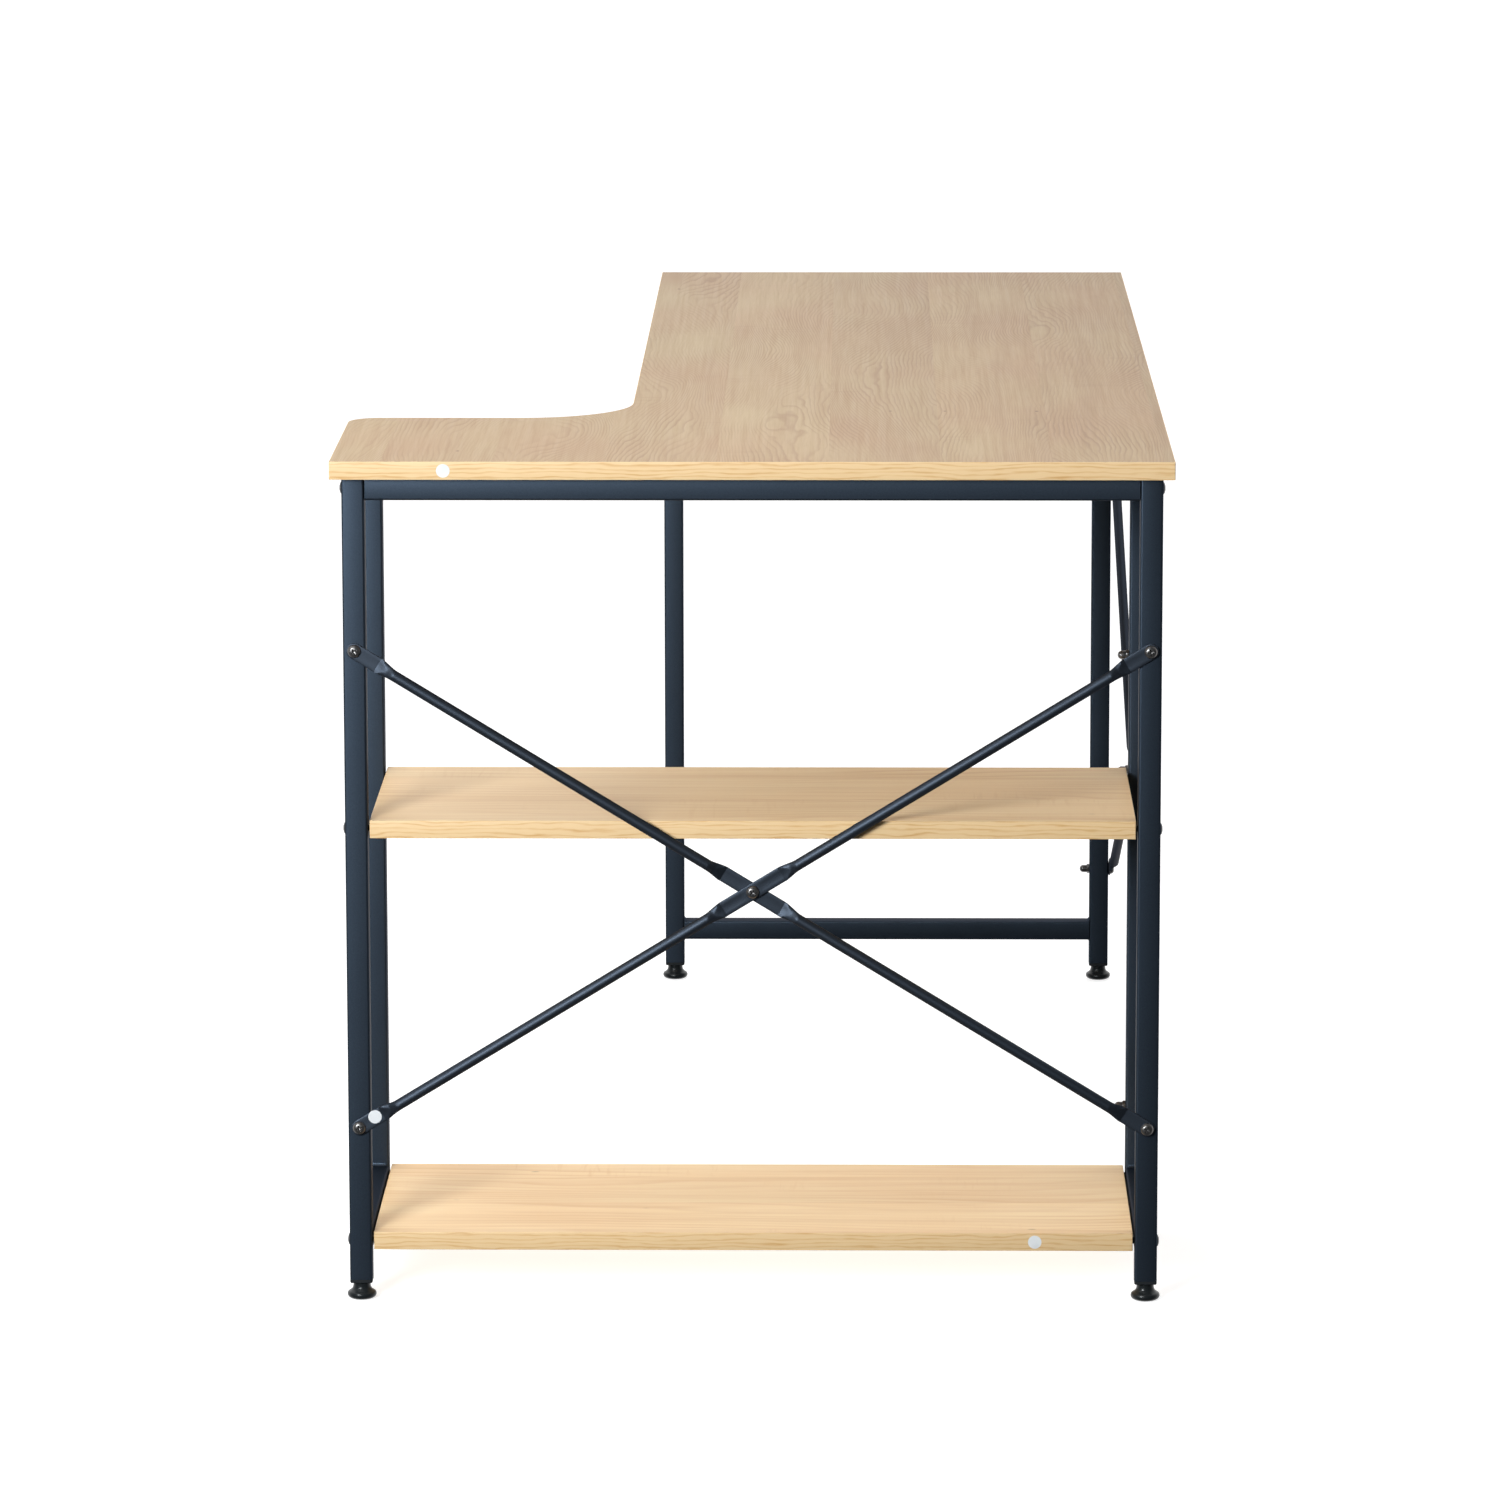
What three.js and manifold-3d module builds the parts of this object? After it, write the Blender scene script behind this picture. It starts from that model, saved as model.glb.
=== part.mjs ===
// Corner desk: an L-shaped worktop on a shelf tower at its near end and a two-legged frame at its
// far end. Square steel tube frames carry the worktop, two shelves sit between the tower's legs, and
// two X-braces of flattened round tube stiffen the tower's front and the desk's wall side. Each leg
// ends in a plastic insert that holds a screw-in levelling foot.
// Millimetres, +Z up, +X towards the wall side, +Y from the tower along the long wing. The origin is
// on the floor under the centre of the worktop's outer rectangle.

import * as THREE from 'three';
import { mergeVertices } from 'three/addons/utils/BufferGeometryUtils.js';
import Module from 'manifold-3d';

const wasm = await Module();
wasm.setup();

// Worktop
const TOP_WIDTH = 740;
const TOP_LENGTH = 1400;
const TOP_HEIGHT = 758;
const BOARD_THICKNESS = 16;
const LONG_WING_WIDTH = 485;
const SHORT_WING_DEPTH = 280;
const INNER_CORNER_RADIUS = 100;
const FREE_CORNER_RADIUS = 28;

// Square steel tube and where the frames stand under the worktop
const TUBE = 20;
const TUBE_WALL = 1;
const TUBE_CORNER_RADIUS = 2;
const SIDE_INSET = 10;
const END_INSET = 12;
const TOWER_DEPTH = 264;
const FAR_LEG_INSET = 2;
const LOWER_BAR_TOP = 64;

// Shelves
const SHELF_GAP = 1.5;
const SHELF_INSET = 2;
const MIDDLE_SHELF_TOP = 436;
const LOWER_SHELF_TOP = 62;

// X-braces of round tube, flattened at both ends and at the crossing
const BRACE_TUBE_RADIUS = 4.9;
const BRACE_BORE_RADIUS = 3.9;
const BRACE_FLAT_WIDTH = 14;
const BRACE_FLAT_THICKNESS = 2.2;
const BRACE_BORE_SLIT = 0.4;
const BRACE_TIP = 7;
const BRACE_END_FLAT = 24;
const BRACE_CENTRE_FLAT = 30;
const BRACE_TRANSITION = 14;
const FRONT_BRACE_HEIGHTS = [158.5, 588.5];
const SIDE_BRACE_HEIGHTS = [120, 542];

// Feet and fasteners
const FOOT_HEIGHT = 15.5;
const FOOT_STEM_RADIUS = 3.9;
const FOOT_STEM_TOP = 34;
const INSERT_FLANGE = 3;
const INSERT_PLUG = 16;
const SCREW_RADIUS = 2.5;
const SCREW_HEAD_RADIUS = 5.8;
const SCREW_HEAD_HEIGHT = 3.8;
const BOLT_RADIUS = 3;
const BOLT_HEAD_RADIUS = 5.3;
const BOLT_HEAD_HEIGHT = 2;
const BOLT_LENGTH = 50;
const NUT_ACROSS_FLATS = 8.4;
const NUT_HEIGHT = 10.4;
const GAP = 0.3;
const BRACE_GAP = 0.2;

// Places worked out from the sizes above
const LEFT = -TOP_WIDTH / 2;
const RIGHT = TOP_WIDTH / 2;
const NEAR = -TOP_LENGTH / 2;
const FAR = TOP_LENGTH / 2;
const FRAME_TOP = TOP_HEIGHT - BOARD_THICKNESS;
const LEG_BOTTOM = FOOT_HEIGHT + INSERT_FLANGE;
const HALF_TUBE = TUBE / 2;
const LEFT_LEG_X = LEFT + SIDE_INSET + HALF_TUBE;
const RIGHT_LEG_X = RIGHT - SIDE_INSET - HALF_TUBE;
const FAR_LEFT_LEG_X = RIGHT - LONG_WING_WIDTH + FAR_LEG_INSET + HALF_TUBE;
const FRONT_LEG_Y = NEAR + END_INSET + HALF_TUBE;
const REAR_LEG_Y = NEAR + END_INSET + TOWER_DEPTH - HALF_TUBE;
const FAR_LEG_Y = FAR - END_INSET - HALF_TUBE;
const RAIL_Z = FRAME_TOP - HALF_TUBE;
const LOWER_BAR_Z = LOWER_BAR_TOP - HALF_TUBE;
const MIDDLE_SHELF_Z = MIDDLE_SHELF_TOP - BOARD_THICKNESS / 2;
const LOWER_SHELF_Z = LOWER_SHELF_TOP - BOARD_THICKNESS / 2;

// Round pieces are faceted with these counts
const ROUND_SEGMENTS = 12;
const HOLE_SEGMENTS = 8;
const FOOT_SEGMENTS = 16;
const BORE_SEGMENTS = 6;
const CORNER_SEGMENTS = 2;

// Finishes: colour, roughness, metalness
const FINISHES = {
  beechLaminate: [0xd4b696, 0.5, 0],
  steelFrame: [0x343c46, 0.55, 0.3],
  braceSteel: [0x30373f, 0.45, 0.4],
  darkFastener: [0x2b2725, 0.35, 0.8],
  blackPlastic: [0x0f1012, 0.3, 0],
};

const desk = new THREE.Group();

function addPiece(parent, name, geometry, finish, position = [0, 0, 0], rotation = [0, 0, 0]) {
  const [color, roughness, metalness] = FINISHES[finish];
  const mesh = new THREE.Mesh(geometry, new THREE.MeshStandardMaterial({ color, roughness, metalness }));
  mesh.name = name;
  mesh.position.set(...position);
  mesh.rotation.set(...rotation);
  parent.add(mesh);
}

// Rotations that turn a piece made along +Z to lie along the named direction
const ALONG = {
  plusX: [0, Math.PI / 2, 0],
  minusX: [0, -Math.PI / 2, 0],
  plusY: [-Math.PI / 2, 0, 0],
  minusZ: [Math.PI, 0, 0],
};

// A closed triangle mesh as a solid: shared corners are merged, and the triangles that collapse to a
// line where a turned profile meets its axis are dropped.
function toSolid(geometry) {
  const bare = geometry.clone();
  bare.deleteAttribute('normal');
  bare.deleteAttribute('uv');
  const merged = mergeVertices(bare, 1e-4);
  const corners = merged.index.array;
  const kept = [];
  for (let i = 0; i < corners.length; i += 3) {
    const [a, b, c] = corners.slice(i, i + 3);
    if (a !== b && b !== c && c !== a) kept.push(a, b, c);
  }
  const vertProperties = new Float32Array(merged.attributes.position.array);
  return new wasm.Manifold(new wasm.Mesh({ numProp: 3, vertProperties, triVerts: new Uint32Array(kept) }));
}

function toGeometry(solid) {
  const mesh = solid.getMesh();
  const geometry = new THREE.BufferGeometry();
  geometry.setAttribute('position', new THREE.BufferAttribute(new Float32Array(mesh.vertProperties), 3));
  geometry.setIndex(new THREE.BufferAttribute(new Uint32Array(mesh.triVerts), 1));
  geometry.computeVertexNormals();
  return geometry;
}

function cut(geometry, cutters) {
  let solid = toSolid(geometry);
  for (const cutter of cutters) solid = solid.subtract(toSolid(cutter));
  return toGeometry(solid);
}

function join(first, second) {
  return toGeometry(toSolid(first).add(toSolid(second)));
}

// A square outline with rounded corners, centred on the origin, drawn anticlockwise.
function squareOutline(Outline, size, radius) {
  const straight = size / 2 - radius;
  const outline = new Outline();
  const centres = [[1, 1], [-1, 1], [-1, -1], [1, -1]];
  centres.forEach(([signX, signY], quarter) => {
    const start = (quarter * Math.PI) / 2;
    outline.absarc(signX * straight, signY * straight, radius, start, start + Math.PI / 2, false);
  });
  outline.closePath();
  return outline;
}

function extrude(shape, depth, curveSegments) {
  return new THREE.ExtrudeGeometry(shape, { depth, bevelEnabled: false, curveSegments });
}

// A solid of revolution about +Z from [radius, height] points that start and end on the axis.
function turned(profile, segments = ROUND_SEGMENTS) {
  const points = profile.map(([radius, height]) => new THREE.Vector2(radius, height));
  const geometry = new THREE.LatheGeometry(points, segments).rotateX(Math.PI / 2);
  return toGeometry(toSolid(geometry));
}

// A round cutter of the given radius and length along +Z, starting at the origin.
function drill(radius, length, segments = HOLE_SEGMENTS) {
  return new THREE.CylinderGeometry(radius, radius, length, segments)
    .rotateX(Math.PI / 2)
    .translate(0, 0, length / 2);
}

// ---- Worktop: one L-shaped board with a hollow round inner corner and a round free corner ----

function worktopGeometry() {
  const wingEdge = RIGHT - LONG_WING_WIDTH;
  const shortEdge = NEAR + SHORT_WING_DEPTH;
  const shape = new THREE.Shape();
  shape.moveTo(LEFT, NEAR);
  shape.lineTo(RIGHT, NEAR);
  shape.lineTo(RIGHT, FAR);
  shape.lineTo(wingEdge, FAR);
  const innerX = wingEdge - INNER_CORNER_RADIUS;
  const innerY = shortEdge + INNER_CORNER_RADIUS;
  shape.absarc(innerX, innerY, INNER_CORNER_RADIUS, 0, -Math.PI / 2, true);
  const freeX = LEFT + FREE_CORNER_RADIUS;
  const freeY = shortEdge - FREE_CORNER_RADIUS;
  shape.absarc(freeX, freeY, FREE_CORNER_RADIUS, Math.PI / 2, Math.PI, false);
  shape.closePath();
  return extrude(shape, BOARD_THICKNESS, 8);
}

addPiece(desk, 'worktop', worktopGeometry(), 'beechLaminate', [0, 0, FRAME_TOP]);

// ---- Shelves: boards that fill the tower, drilled at each end for the bolts through the legs ----

const SHELF_LENGTH = RIGHT_LEG_X - LEFT_LEG_X - TUBE - 2 * SHELF_GAP;
const SHELF_DEPTH = TOWER_DEPTH - 2 * SHELF_INSET;
const SHELF_Y = (FRONT_LEG_Y + REAR_LEG_Y) / 2;
const SHELF_HOLE_DEPTH = 32;

function shelfGeometry() {
  const board = new THREE.BoxGeometry(SHELF_LENGTH, SHELF_DEPTH, BOARD_THICKNESS);
  const holes = [];
  for (const legY of [FRONT_LEG_Y, REAR_LEG_Y]) {
    const across = legY - SHELF_Y;
    const fromLeft = drill(BOLT_RADIUS + GAP, SHELF_HOLE_DEPTH + 1).rotateY(Math.PI / 2);
    holes.push(fromLeft.translate(-SHELF_LENGTH / 2 - 1, across, 0));
    const fromRight = drill(BOLT_RADIUS + GAP, SHELF_HOLE_DEPTH + 1).rotateY(-Math.PI / 2);
    holes.push(fromRight.translate(SHELF_LENGTH / 2 + 1, across, 0));
  }
  return cut(board, holes);
}

const SHELF_X = (LEFT_LEG_X + RIGHT_LEG_X) / 2;
addPiece(desk, 'middle_shelf', shelfGeometry(), 'beechLaminate', [SHELF_X, SHELF_Y, MIDDLE_SHELF_Z]);
addPiece(desk, 'lower_shelf', shelfGeometry(), 'beechLaminate', [SHELF_X, SHELF_Y, LOWER_SHELF_Z]);

// ---- Square tube, open at both ends ----

function tubeGeometry(length) {
  const shape = squareOutline(THREE.Shape, TUBE, TUBE_CORNER_RADIUS);
  shape.holes.push(squareOutline(THREE.Path, TUBE - 2 * TUBE_WALL, TUBE_CORNER_RADIUS - TUBE_WALL));
  return extrude(shape, length, CORNER_SEGMENTS);
}

// ---- Legs: tubes from the insert's flange to the worktop, drilled through both walls ----

// Where each leg stands and how high its holes are: bolts and side screws run along X, front screws
// along Y.
const REAR_BOLTS = [MIDDLE_SHELF_Z, LOWER_SHELF_Z];
const FRONT_BOLTS = [RAIL_Z, ...REAR_BOLTS];
const LEGS = {
  front_left: { at: [LEFT_LEG_X, FRONT_LEG_Y], bolts: FRONT_BOLTS, frontScrews: FRONT_BRACE_HEIGHTS },
  front_right: { at: [RIGHT_LEG_X, FRONT_LEG_Y], bolts: FRONT_BOLTS, frontScrews: FRONT_BRACE_HEIGHTS },
  rear_left: { at: [LEFT_LEG_X, REAR_LEG_Y], bolts: REAR_BOLTS },
  rear_right: { at: [RIGHT_LEG_X, REAR_LEG_Y], bolts: REAR_BOLTS, sideScrews: SIDE_BRACE_HEIGHTS },
  far_left: { at: [FAR_LEFT_LEG_X, FAR_LEG_Y] },
  far_right: { at: [RIGHT_LEG_X, FAR_LEG_Y], sideScrews: SIDE_BRACE_HEIGHTS },
};

function legGeometry({ bolts = [], frontScrews = [], sideScrews = [] }) {
  const through = (radius) => drill(radius, TUBE + 4).translate(0, 0, -HALF_TUBE - 2);
  const alongX = (radius, z) => through(radius).rotateY(Math.PI / 2).translate(0, 0, z - LEG_BOTTOM);
  const alongY = (radius, z) => through(radius).rotateX(Math.PI / 2).translate(0, 0, z - LEG_BOTTOM);
  return cut(tubeGeometry(FRAME_TOP - LEG_BOTTOM), [
    ...bolts.map((z) => alongX(BOLT_RADIUS + GAP, z)),
    ...sideScrews.map((z) => alongX(SCREW_RADIUS + GAP, z)),
    ...frontScrews.map((z) => alongY(SCREW_RADIUS + GAP, z)),
  ]);
}

for (const [place, leg] of Object.entries(LEGS)) {
  addPiece(desk, `leg_${place}`, legGeometry(leg), 'steelFrame', [...leg.at, LEG_BOTTOM]);
}

// ---- Bars and rails: tubes that butt against the faces of the legs, each from its start on ----

const TOWER_BAR = REAR_LEG_Y - FRONT_LEG_Y - TUBE;
const TOWER_RAIL = RIGHT_LEG_X - LEFT_LEG_X - TUBE;
const FAR_BAR = RIGHT_LEG_X - FAR_LEFT_LEG_X - TUBE;
const LONG_RAIL = FAR_LEG_Y - REAR_LEG_Y - TUBE;
const BARS = [
  ['crossbar_left_top', 'plusY', TOWER_BAR, [LEFT_LEG_X, FRONT_LEG_Y + HALF_TUBE, RAIL_Z]],
  ['crossbar_left_bottom', 'plusY', TOWER_BAR, [LEFT_LEG_X, FRONT_LEG_Y + HALF_TUBE, LOWER_BAR_Z]],
  ['crossbar_right_top', 'plusY', TOWER_BAR, [RIGHT_LEG_X, FRONT_LEG_Y + HALF_TUBE, RAIL_Z]],
  ['crossbar_right_bottom', 'plusY', TOWER_BAR, [RIGHT_LEG_X, FRONT_LEG_Y + HALF_TUBE, LOWER_BAR_Z]],
  ['crossbar_far_top', 'plusX', FAR_BAR, [FAR_LEFT_LEG_X + HALF_TUBE, FAR_LEG_Y, RAIL_Z]],
  ['crossbar_far_bottom', 'plusX', FAR_BAR, [FAR_LEFT_LEG_X + HALF_TUBE, FAR_LEG_Y, LOWER_BAR_Z]],
  ['rail_front', 'plusX', TOWER_RAIL, [LEFT_LEG_X + HALF_TUBE, FRONT_LEG_Y, RAIL_Z]],
  ['rail_rear', 'plusX', TOWER_RAIL, [LEFT_LEG_X + HALF_TUBE, REAR_LEG_Y, RAIL_Z]],
  ['rail_long_left', 'plusY', LONG_RAIL, [FAR_LEFT_LEG_X, REAR_LEG_Y + HALF_TUBE, RAIL_Z]],
  ['rail_long_right', 'plusY', LONG_RAIL, [RIGHT_LEG_X, REAR_LEG_Y + HALF_TUBE, RAIL_Z]],
];
for (const [name, direction, length, start] of BARS) {
  addPiece(desk, name, tubeGeometry(length), 'steelFrame', start, ALONG[direction]);
}

// ---- Leg inserts and levelling feet ----

// A square flange under the leg and a plug inside it, with one bore for the foot's stem.
function insertGeometry() {
  const flangeOutline = squareOutline(THREE.Shape, TUBE, TUBE_CORNER_RADIUS);
  const plugOutline = squareOutline(THREE.Shape, TUBE - 2 * TUBE_WALL - 2 * GAP, TUBE_WALL);
  const height = INSERT_FLANGE + INSERT_PLUG;
  const flange = extrude(flangeOutline, INSERT_FLANGE, CORNER_SEGMENTS);
  const plug = extrude(plugOutline, height, CORNER_SEGMENTS);
  const bore = drill(FOOT_STEM_RADIUS + GAP, height + 2, FOOT_SEGMENTS).translate(0, 0, -1);
  return cut(join(flange, plug), [bore]);
}

// A flat-bottomed pad with a round rim, a waisted neck that stops against the insert, and the stem.
function footGeometry() {
  return turned([
    [0, 0],
    [9.5, 0],
    [12.1, 1.4],
    [13, 4],
    [12.6, 6],
    [10, 7.6],
    [8.3, 9.8],
    [7.75, 12],
    [7.75, FOOT_HEIGHT],
    [FOOT_STEM_RADIUS, FOOT_HEIGHT],
    [FOOT_STEM_RADIUS, FOOT_STEM_TOP],
    [0, FOOT_STEM_TOP],
  ], FOOT_SEGMENTS);
}

for (const [place, leg] of Object.entries(LEGS)) {
  addPiece(desk, `insert_${place}`, insertGeometry(), 'blackPlastic', [...leg.at, FOOT_HEIGHT]);
  addPiece(desk, `foot_${place}`, footGeometry(), 'blackPlastic', [...leg.at, 0]);
}

// ---- Fasteners, made with the head's underside at the origin and the head towards +Z ----

// A low domed bolt head with a hexagon socket.
function boltGeometry() {
  const bolt = turned([
    [0, -BOLT_LENGTH],
    [BOLT_RADIUS, -BOLT_LENGTH],
    [BOLT_RADIUS, 0],
    [BOLT_HEAD_RADIUS, 0],
    [0.85 * BOLT_HEAD_RADIUS, 0.65 * BOLT_HEAD_HEIGHT],
    [0.5 * BOLT_HEAD_RADIUS, BOLT_HEAD_HEIGHT],
    [0, BOLT_HEAD_HEIGHT],
  ]);
  const socketRadius = 0.43 * BOLT_HEAD_RADIUS;
  const socket = new THREE.CylinderGeometry(socketRadius, socketRadius, 2, 6).rotateX(Math.PI / 2);
  return cut(bolt, [socket.translate(0, 0, BOLT_HEAD_HEIGHT)]);
}

// A pan head with a cross recess.
function screwGeometry(length) {
  const screw = turned([
    [0, -length],
    [SCREW_RADIUS, -length],
    [SCREW_RADIUS, 0],
    [SCREW_HEAD_RADIUS, 0],
    [0.96 * SCREW_HEAD_RADIUS, 0.45 * SCREW_HEAD_HEIGHT],
    [0.7 * SCREW_HEAD_RADIUS, 0.9 * SCREW_HEAD_HEIGHT],
    [0, SCREW_HEAD_HEIGHT],
  ]);
  const slotLength = 1.1 * SCREW_HEAD_RADIUS;
  const slotWidth = 0.2 * SCREW_HEAD_RADIUS;
  const slot = new THREE.BoxGeometry(slotLength, slotWidth, SCREW_HEAD_HEIGHT);
  slot.translate(0, 0, SCREW_HEAD_HEIGHT);
  return cut(screw, [slot, slot.clone().rotateZ(Math.PI / 2)]);
}

// A hexagon base with a domed cap and a blind hole for the screw's end.
function capNutGeometry() {
  const hexRadius = NUT_ACROSS_FLATS / Math.sqrt(3);
  const hexHeight = 0.35 * NUT_HEIGHT;
  const hexagon = new THREE.CylinderGeometry(hexRadius, hexRadius, hexHeight, 6)
    .rotateX(Math.PI / 2)
    .translate(0, 0, hexHeight / 2);
  const domeRadius = 0.46 * NUT_ACROSS_FLATS;
  const dome = turned([
    [0, hexHeight / 2],
    [domeRadius, hexHeight / 2],
    [domeRadius, 0.62 * NUT_HEIGHT],
    [0.75 * domeRadius, 0.9 * NUT_HEIGHT],
    [0, NUT_HEIGHT],
  ]);
  const hole = drill(SCREW_RADIUS + GAP, 0.7 * NUT_HEIGHT + 1).translate(0, 0, -1);
  return cut(join(hexagon, dome), [hole]);
}

// ---- X-braces ----

const BRACE_OUTSIDE = {
  radius: BRACE_TUBE_RADIUS,
  flatWidth: BRACE_FLAT_WIDTH,
  flatThickness: BRACE_FLAT_THICKNESS,
  segments: ROUND_SEGMENTS,
};
const BRACE_INSIDE = {
  radius: BRACE_BORE_RADIUS,
  flatWidth: BRACE_FLAT_WIDTH - 2,
  flatThickness: BRACE_BORE_SLIT,
  segments: BORE_SEGMENTS,
};

// How flat the tube is at a distance from its middle: 0 is round and 1 is fully flattened.
function flatness(distance, halfHoleSpan) {
  const ramp = (along) => THREE.MathUtils.smoothstep(along, 0, BRACE_TRANSITION);
  const fromCentreFlat = ramp(BRACE_CENTRE_FLAT + BRACE_TRANSITION - distance);
  const fromEndFlat = ramp(distance - (halfHoleSpan - BRACE_END_FLAT - BRACE_TRANSITION));
  return Math.max(fromCentreFlat, fromEndFlat);
}

// Distances along half of the tube, from its middle to its tip, where a ring of points is needed.
function ringDistances(halfHoleSpan) {
  const steps = [0, 0.5, 1].map((part) => part * BRACE_TRANSITION);
  const endStart = halfHoleSpan - BRACE_END_FLAT - BRACE_TRANSITION;
  return [...steps.map((s) => BRACE_CENTRE_FLAT + s), ...steps.map((s) => endStart + s)];
}

// One pressed tube surface along X, lying on the plane z = 0. A cylinder's rings are moved to where the
// pressing changes, and each ring blends from a circle to a thin flat one. centreLift raises the flat
// at the crossing, and reach runs past the end holes.
function pressedTube(halfHoleSpan, centreLift, reach, { radius, flatWidth, flatThickness, segments }) {
  const half = ringDistances(halfHoleSpan);
  const tip = halfHoleSpan + reach;
  const rings = [...half, tip].reverse().map((distance) => -distance).concat(half, tip);
  const geometry = new THREE.CylinderGeometry(1, 1, 1, segments, rings.length - 1).rotateZ(Math.PI / 2);
  const position = geometry.attributes.position;
  for (let i = 0; i < position.count; i += 1) {
    const ring = Math.round((position.getX(i) + 0.5) * (rings.length - 1));
    const x = rings[ring];
    const flat = flatness(Math.abs(x), halfHoleSpan);
    const halfWidth = THREE.MathUtils.lerp(radius, flatWidth / 2, flat);
    const halfThickness = THREE.MathUtils.lerp(radius, flatThickness / 2, flat);
    const lift = Math.abs(x) < halfHoleSpan / 2 ? centreLift : 0;
    const flatMiddle = BRACE_FLAT_THICKNESS / 2 + lift;
    const middle = THREE.MathUtils.lerp(BRACE_TUBE_RADIUS, flatMiddle, flat);
    const square = 1 - 0.55 * flat;
    const y = position.getY(i);
    const z = position.getZ(i);
    const across = Math.sign(y) * Math.abs(y) ** square * halfWidth;
    const out = Math.sign(z) * Math.abs(z) ** square * halfThickness;
    position.setXYZ(i, x, across, middle + out);
  }
  return geometry;
}

// A flattened tube with round tips, a slit of bore left open through its flats, and three screw holes.
function braceGeometry(halfHoleSpan, centreLift) {
  const outer = pressedTube(halfHoleSpan, centreLift, BRACE_TIP, BRACE_OUTSIDE);
  const bore = pressedTube(halfHoleSpan, centreLift, BRACE_TIP + 2, BRACE_INSIDE);
  const outline = new THREE.Shape();
  const tipRadius = BRACE_TIP + 0.1;
  outline.absarc(halfHoleSpan, 0, tipRadius, -Math.PI / 2, Math.PI / 2, false);
  outline.absarc(-halfHoleSpan, 0, tipRadius, Math.PI / 2, 1.5 * Math.PI, false);
  outline.closePath();
  const blank = extrude(outline, 20, 8).translate(0, 0, -5);
  const rounded = toGeometry(toSolid(outer).intersect(toSolid(blank)));
  const screwHole = (x) => drill(SCREW_RADIUS + GAP, 20).translate(x, 0, -5);
  const holes = [-halfHoleSpan, 0, halfHoleSpan].map(screwHole);
  return cut(rounded, [bore, ...holes]);
}

// Two crossed tubes and their screws in the plane of a pair of legs: x runs along the span, y up and z
// out of the legs' faces.
function addBrace(name, placement, halfSpan, [lowHeight, highHeight]) {
  const halfRise = (highHeight - lowHeight) / 2;
  const halfHoleSpan = Math.hypot(halfSpan, halfRise);
  const angle = Math.atan2(halfRise, halfSpan);
  const centreLift = BRACE_FLAT_THICKNESS + BRACE_GAP;
  const brace = new THREE.Group();
  brace.position.set(...placement.origin, (highHeight + lowHeight) / 2);
  brace.quaternion.setFromRotationMatrix(new THREE.Matrix4().makeBasis(...placement.axes));
  const rising = braceGeometry(halfHoleSpan, centreLift);
  const falling = braceGeometry(halfHoleSpan, 0);
  addPiece(brace, `brace_${name}_rising`, rising, 'braceSteel', [0, 0, BRACE_GAP], [0, 0, angle]);
  addPiece(brace, `brace_${name}_falling`, falling, 'braceSteel', [0, 0, BRACE_GAP], [0, 0, -angle]);

  const endHead = BRACE_FLAT_THICKNESS + 2 * BRACE_GAP;
  const endLength = endHead + TUBE + 0.55 * NUT_HEIGHT;
  const centreHead = endHead + centreLift;
  const corners = { lower_start: [-1, -1], lower_end: [1, -1], upper_start: [-1, 1], upper_end: [1, 1] };
  for (const [corner, [alongSign, upSign]] of Object.entries(corners)) {
    const at = [alongSign * halfSpan, upSign * halfRise];
    addPiece(brace, `screw_${name}_${corner}`, screwGeometry(endLength), 'darkFastener', [...at, endHead]);
    if (placement.cappedNuts) {
      const nutAt = [...at, -TUBE];
      addPiece(brace, `cap_nut_${name}_${corner}`, capNutGeometry(), 'darkFastener', nutAt, ALONG.minusZ);
    }
  }
  const centreLength = centreHead + 0.55 * NUT_HEIGHT;
  addPiece(brace, `screw_${name}_centre`, screwGeometry(centreLength), 'darkFastener', [0, 0, centreHead]);
  desk.add(brace);
}

const AXIS_X = new THREE.Vector3(1, 0, 0);
const AXIS_Y = new THREE.Vector3(0, 1, 0);
const AXIS_Z = new THREE.Vector3(0, 0, 1);

const FRONT_BRACE = {
  origin: [(LEFT_LEG_X + RIGHT_LEG_X) / 2, FRONT_LEG_Y - HALF_TUBE],
  axes: [AXIS_X, AXIS_Z, AXIS_Y.clone().negate()],
  cappedNuts: false,
};
const SIDE_BRACE = {
  origin: [RIGHT_LEG_X + HALF_TUBE, (REAR_LEG_Y + FAR_LEG_Y) / 2],
  axes: [AXIS_Y, AXIS_Z, AXIS_X],
  cappedNuts: true,
};
addBrace('front', FRONT_BRACE, (RIGHT_LEG_X - LEFT_LEG_X) / 2, FRONT_BRACE_HEIGHTS);
addBrace('side', SIDE_BRACE, (FAR_LEG_Y - REAR_LEG_Y) / 2, SIDE_BRACE_HEIGHTS);

// ---- Bolts through the tower's legs into the front rail and into the ends of the shelves ----

const SIDES = {
  left: { x: LEFT_LEG_X - HALF_TUBE, outwards: ALONG.minusX },
  right: { x: RIGHT_LEG_X + HALF_TUBE, outwards: ALONG.plusX },
};
const BOLT_PLACES = {
  rail_front: [FRONT_LEG_Y, RAIL_Z],
  middle_front: [FRONT_LEG_Y, MIDDLE_SHELF_Z],
  middle_rear: [REAR_LEG_Y, MIDDLE_SHELF_Z],
  lower_front: [FRONT_LEG_Y, LOWER_SHELF_Z],
  lower_rear: [REAR_LEG_Y, LOWER_SHELF_Z],
};
for (const [side, { x, outwards }] of Object.entries(SIDES)) {
  for (const [place, [y, z]] of Object.entries(BOLT_PLACES)) {
    addPiece(desk, `bolt_${place}_${side}`, boltGeometry(), 'darkFastener', [x, y, z], outwards);
  }
}

export default desk;
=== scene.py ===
"""Corner desk: laminated boards on a square steel tube frame, with two X-braces and screw-in feet.

Metres, in the CAD frame: +Z up, +X towards the wall side, +Y from the shelf tower along the long wing.
"""

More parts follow.
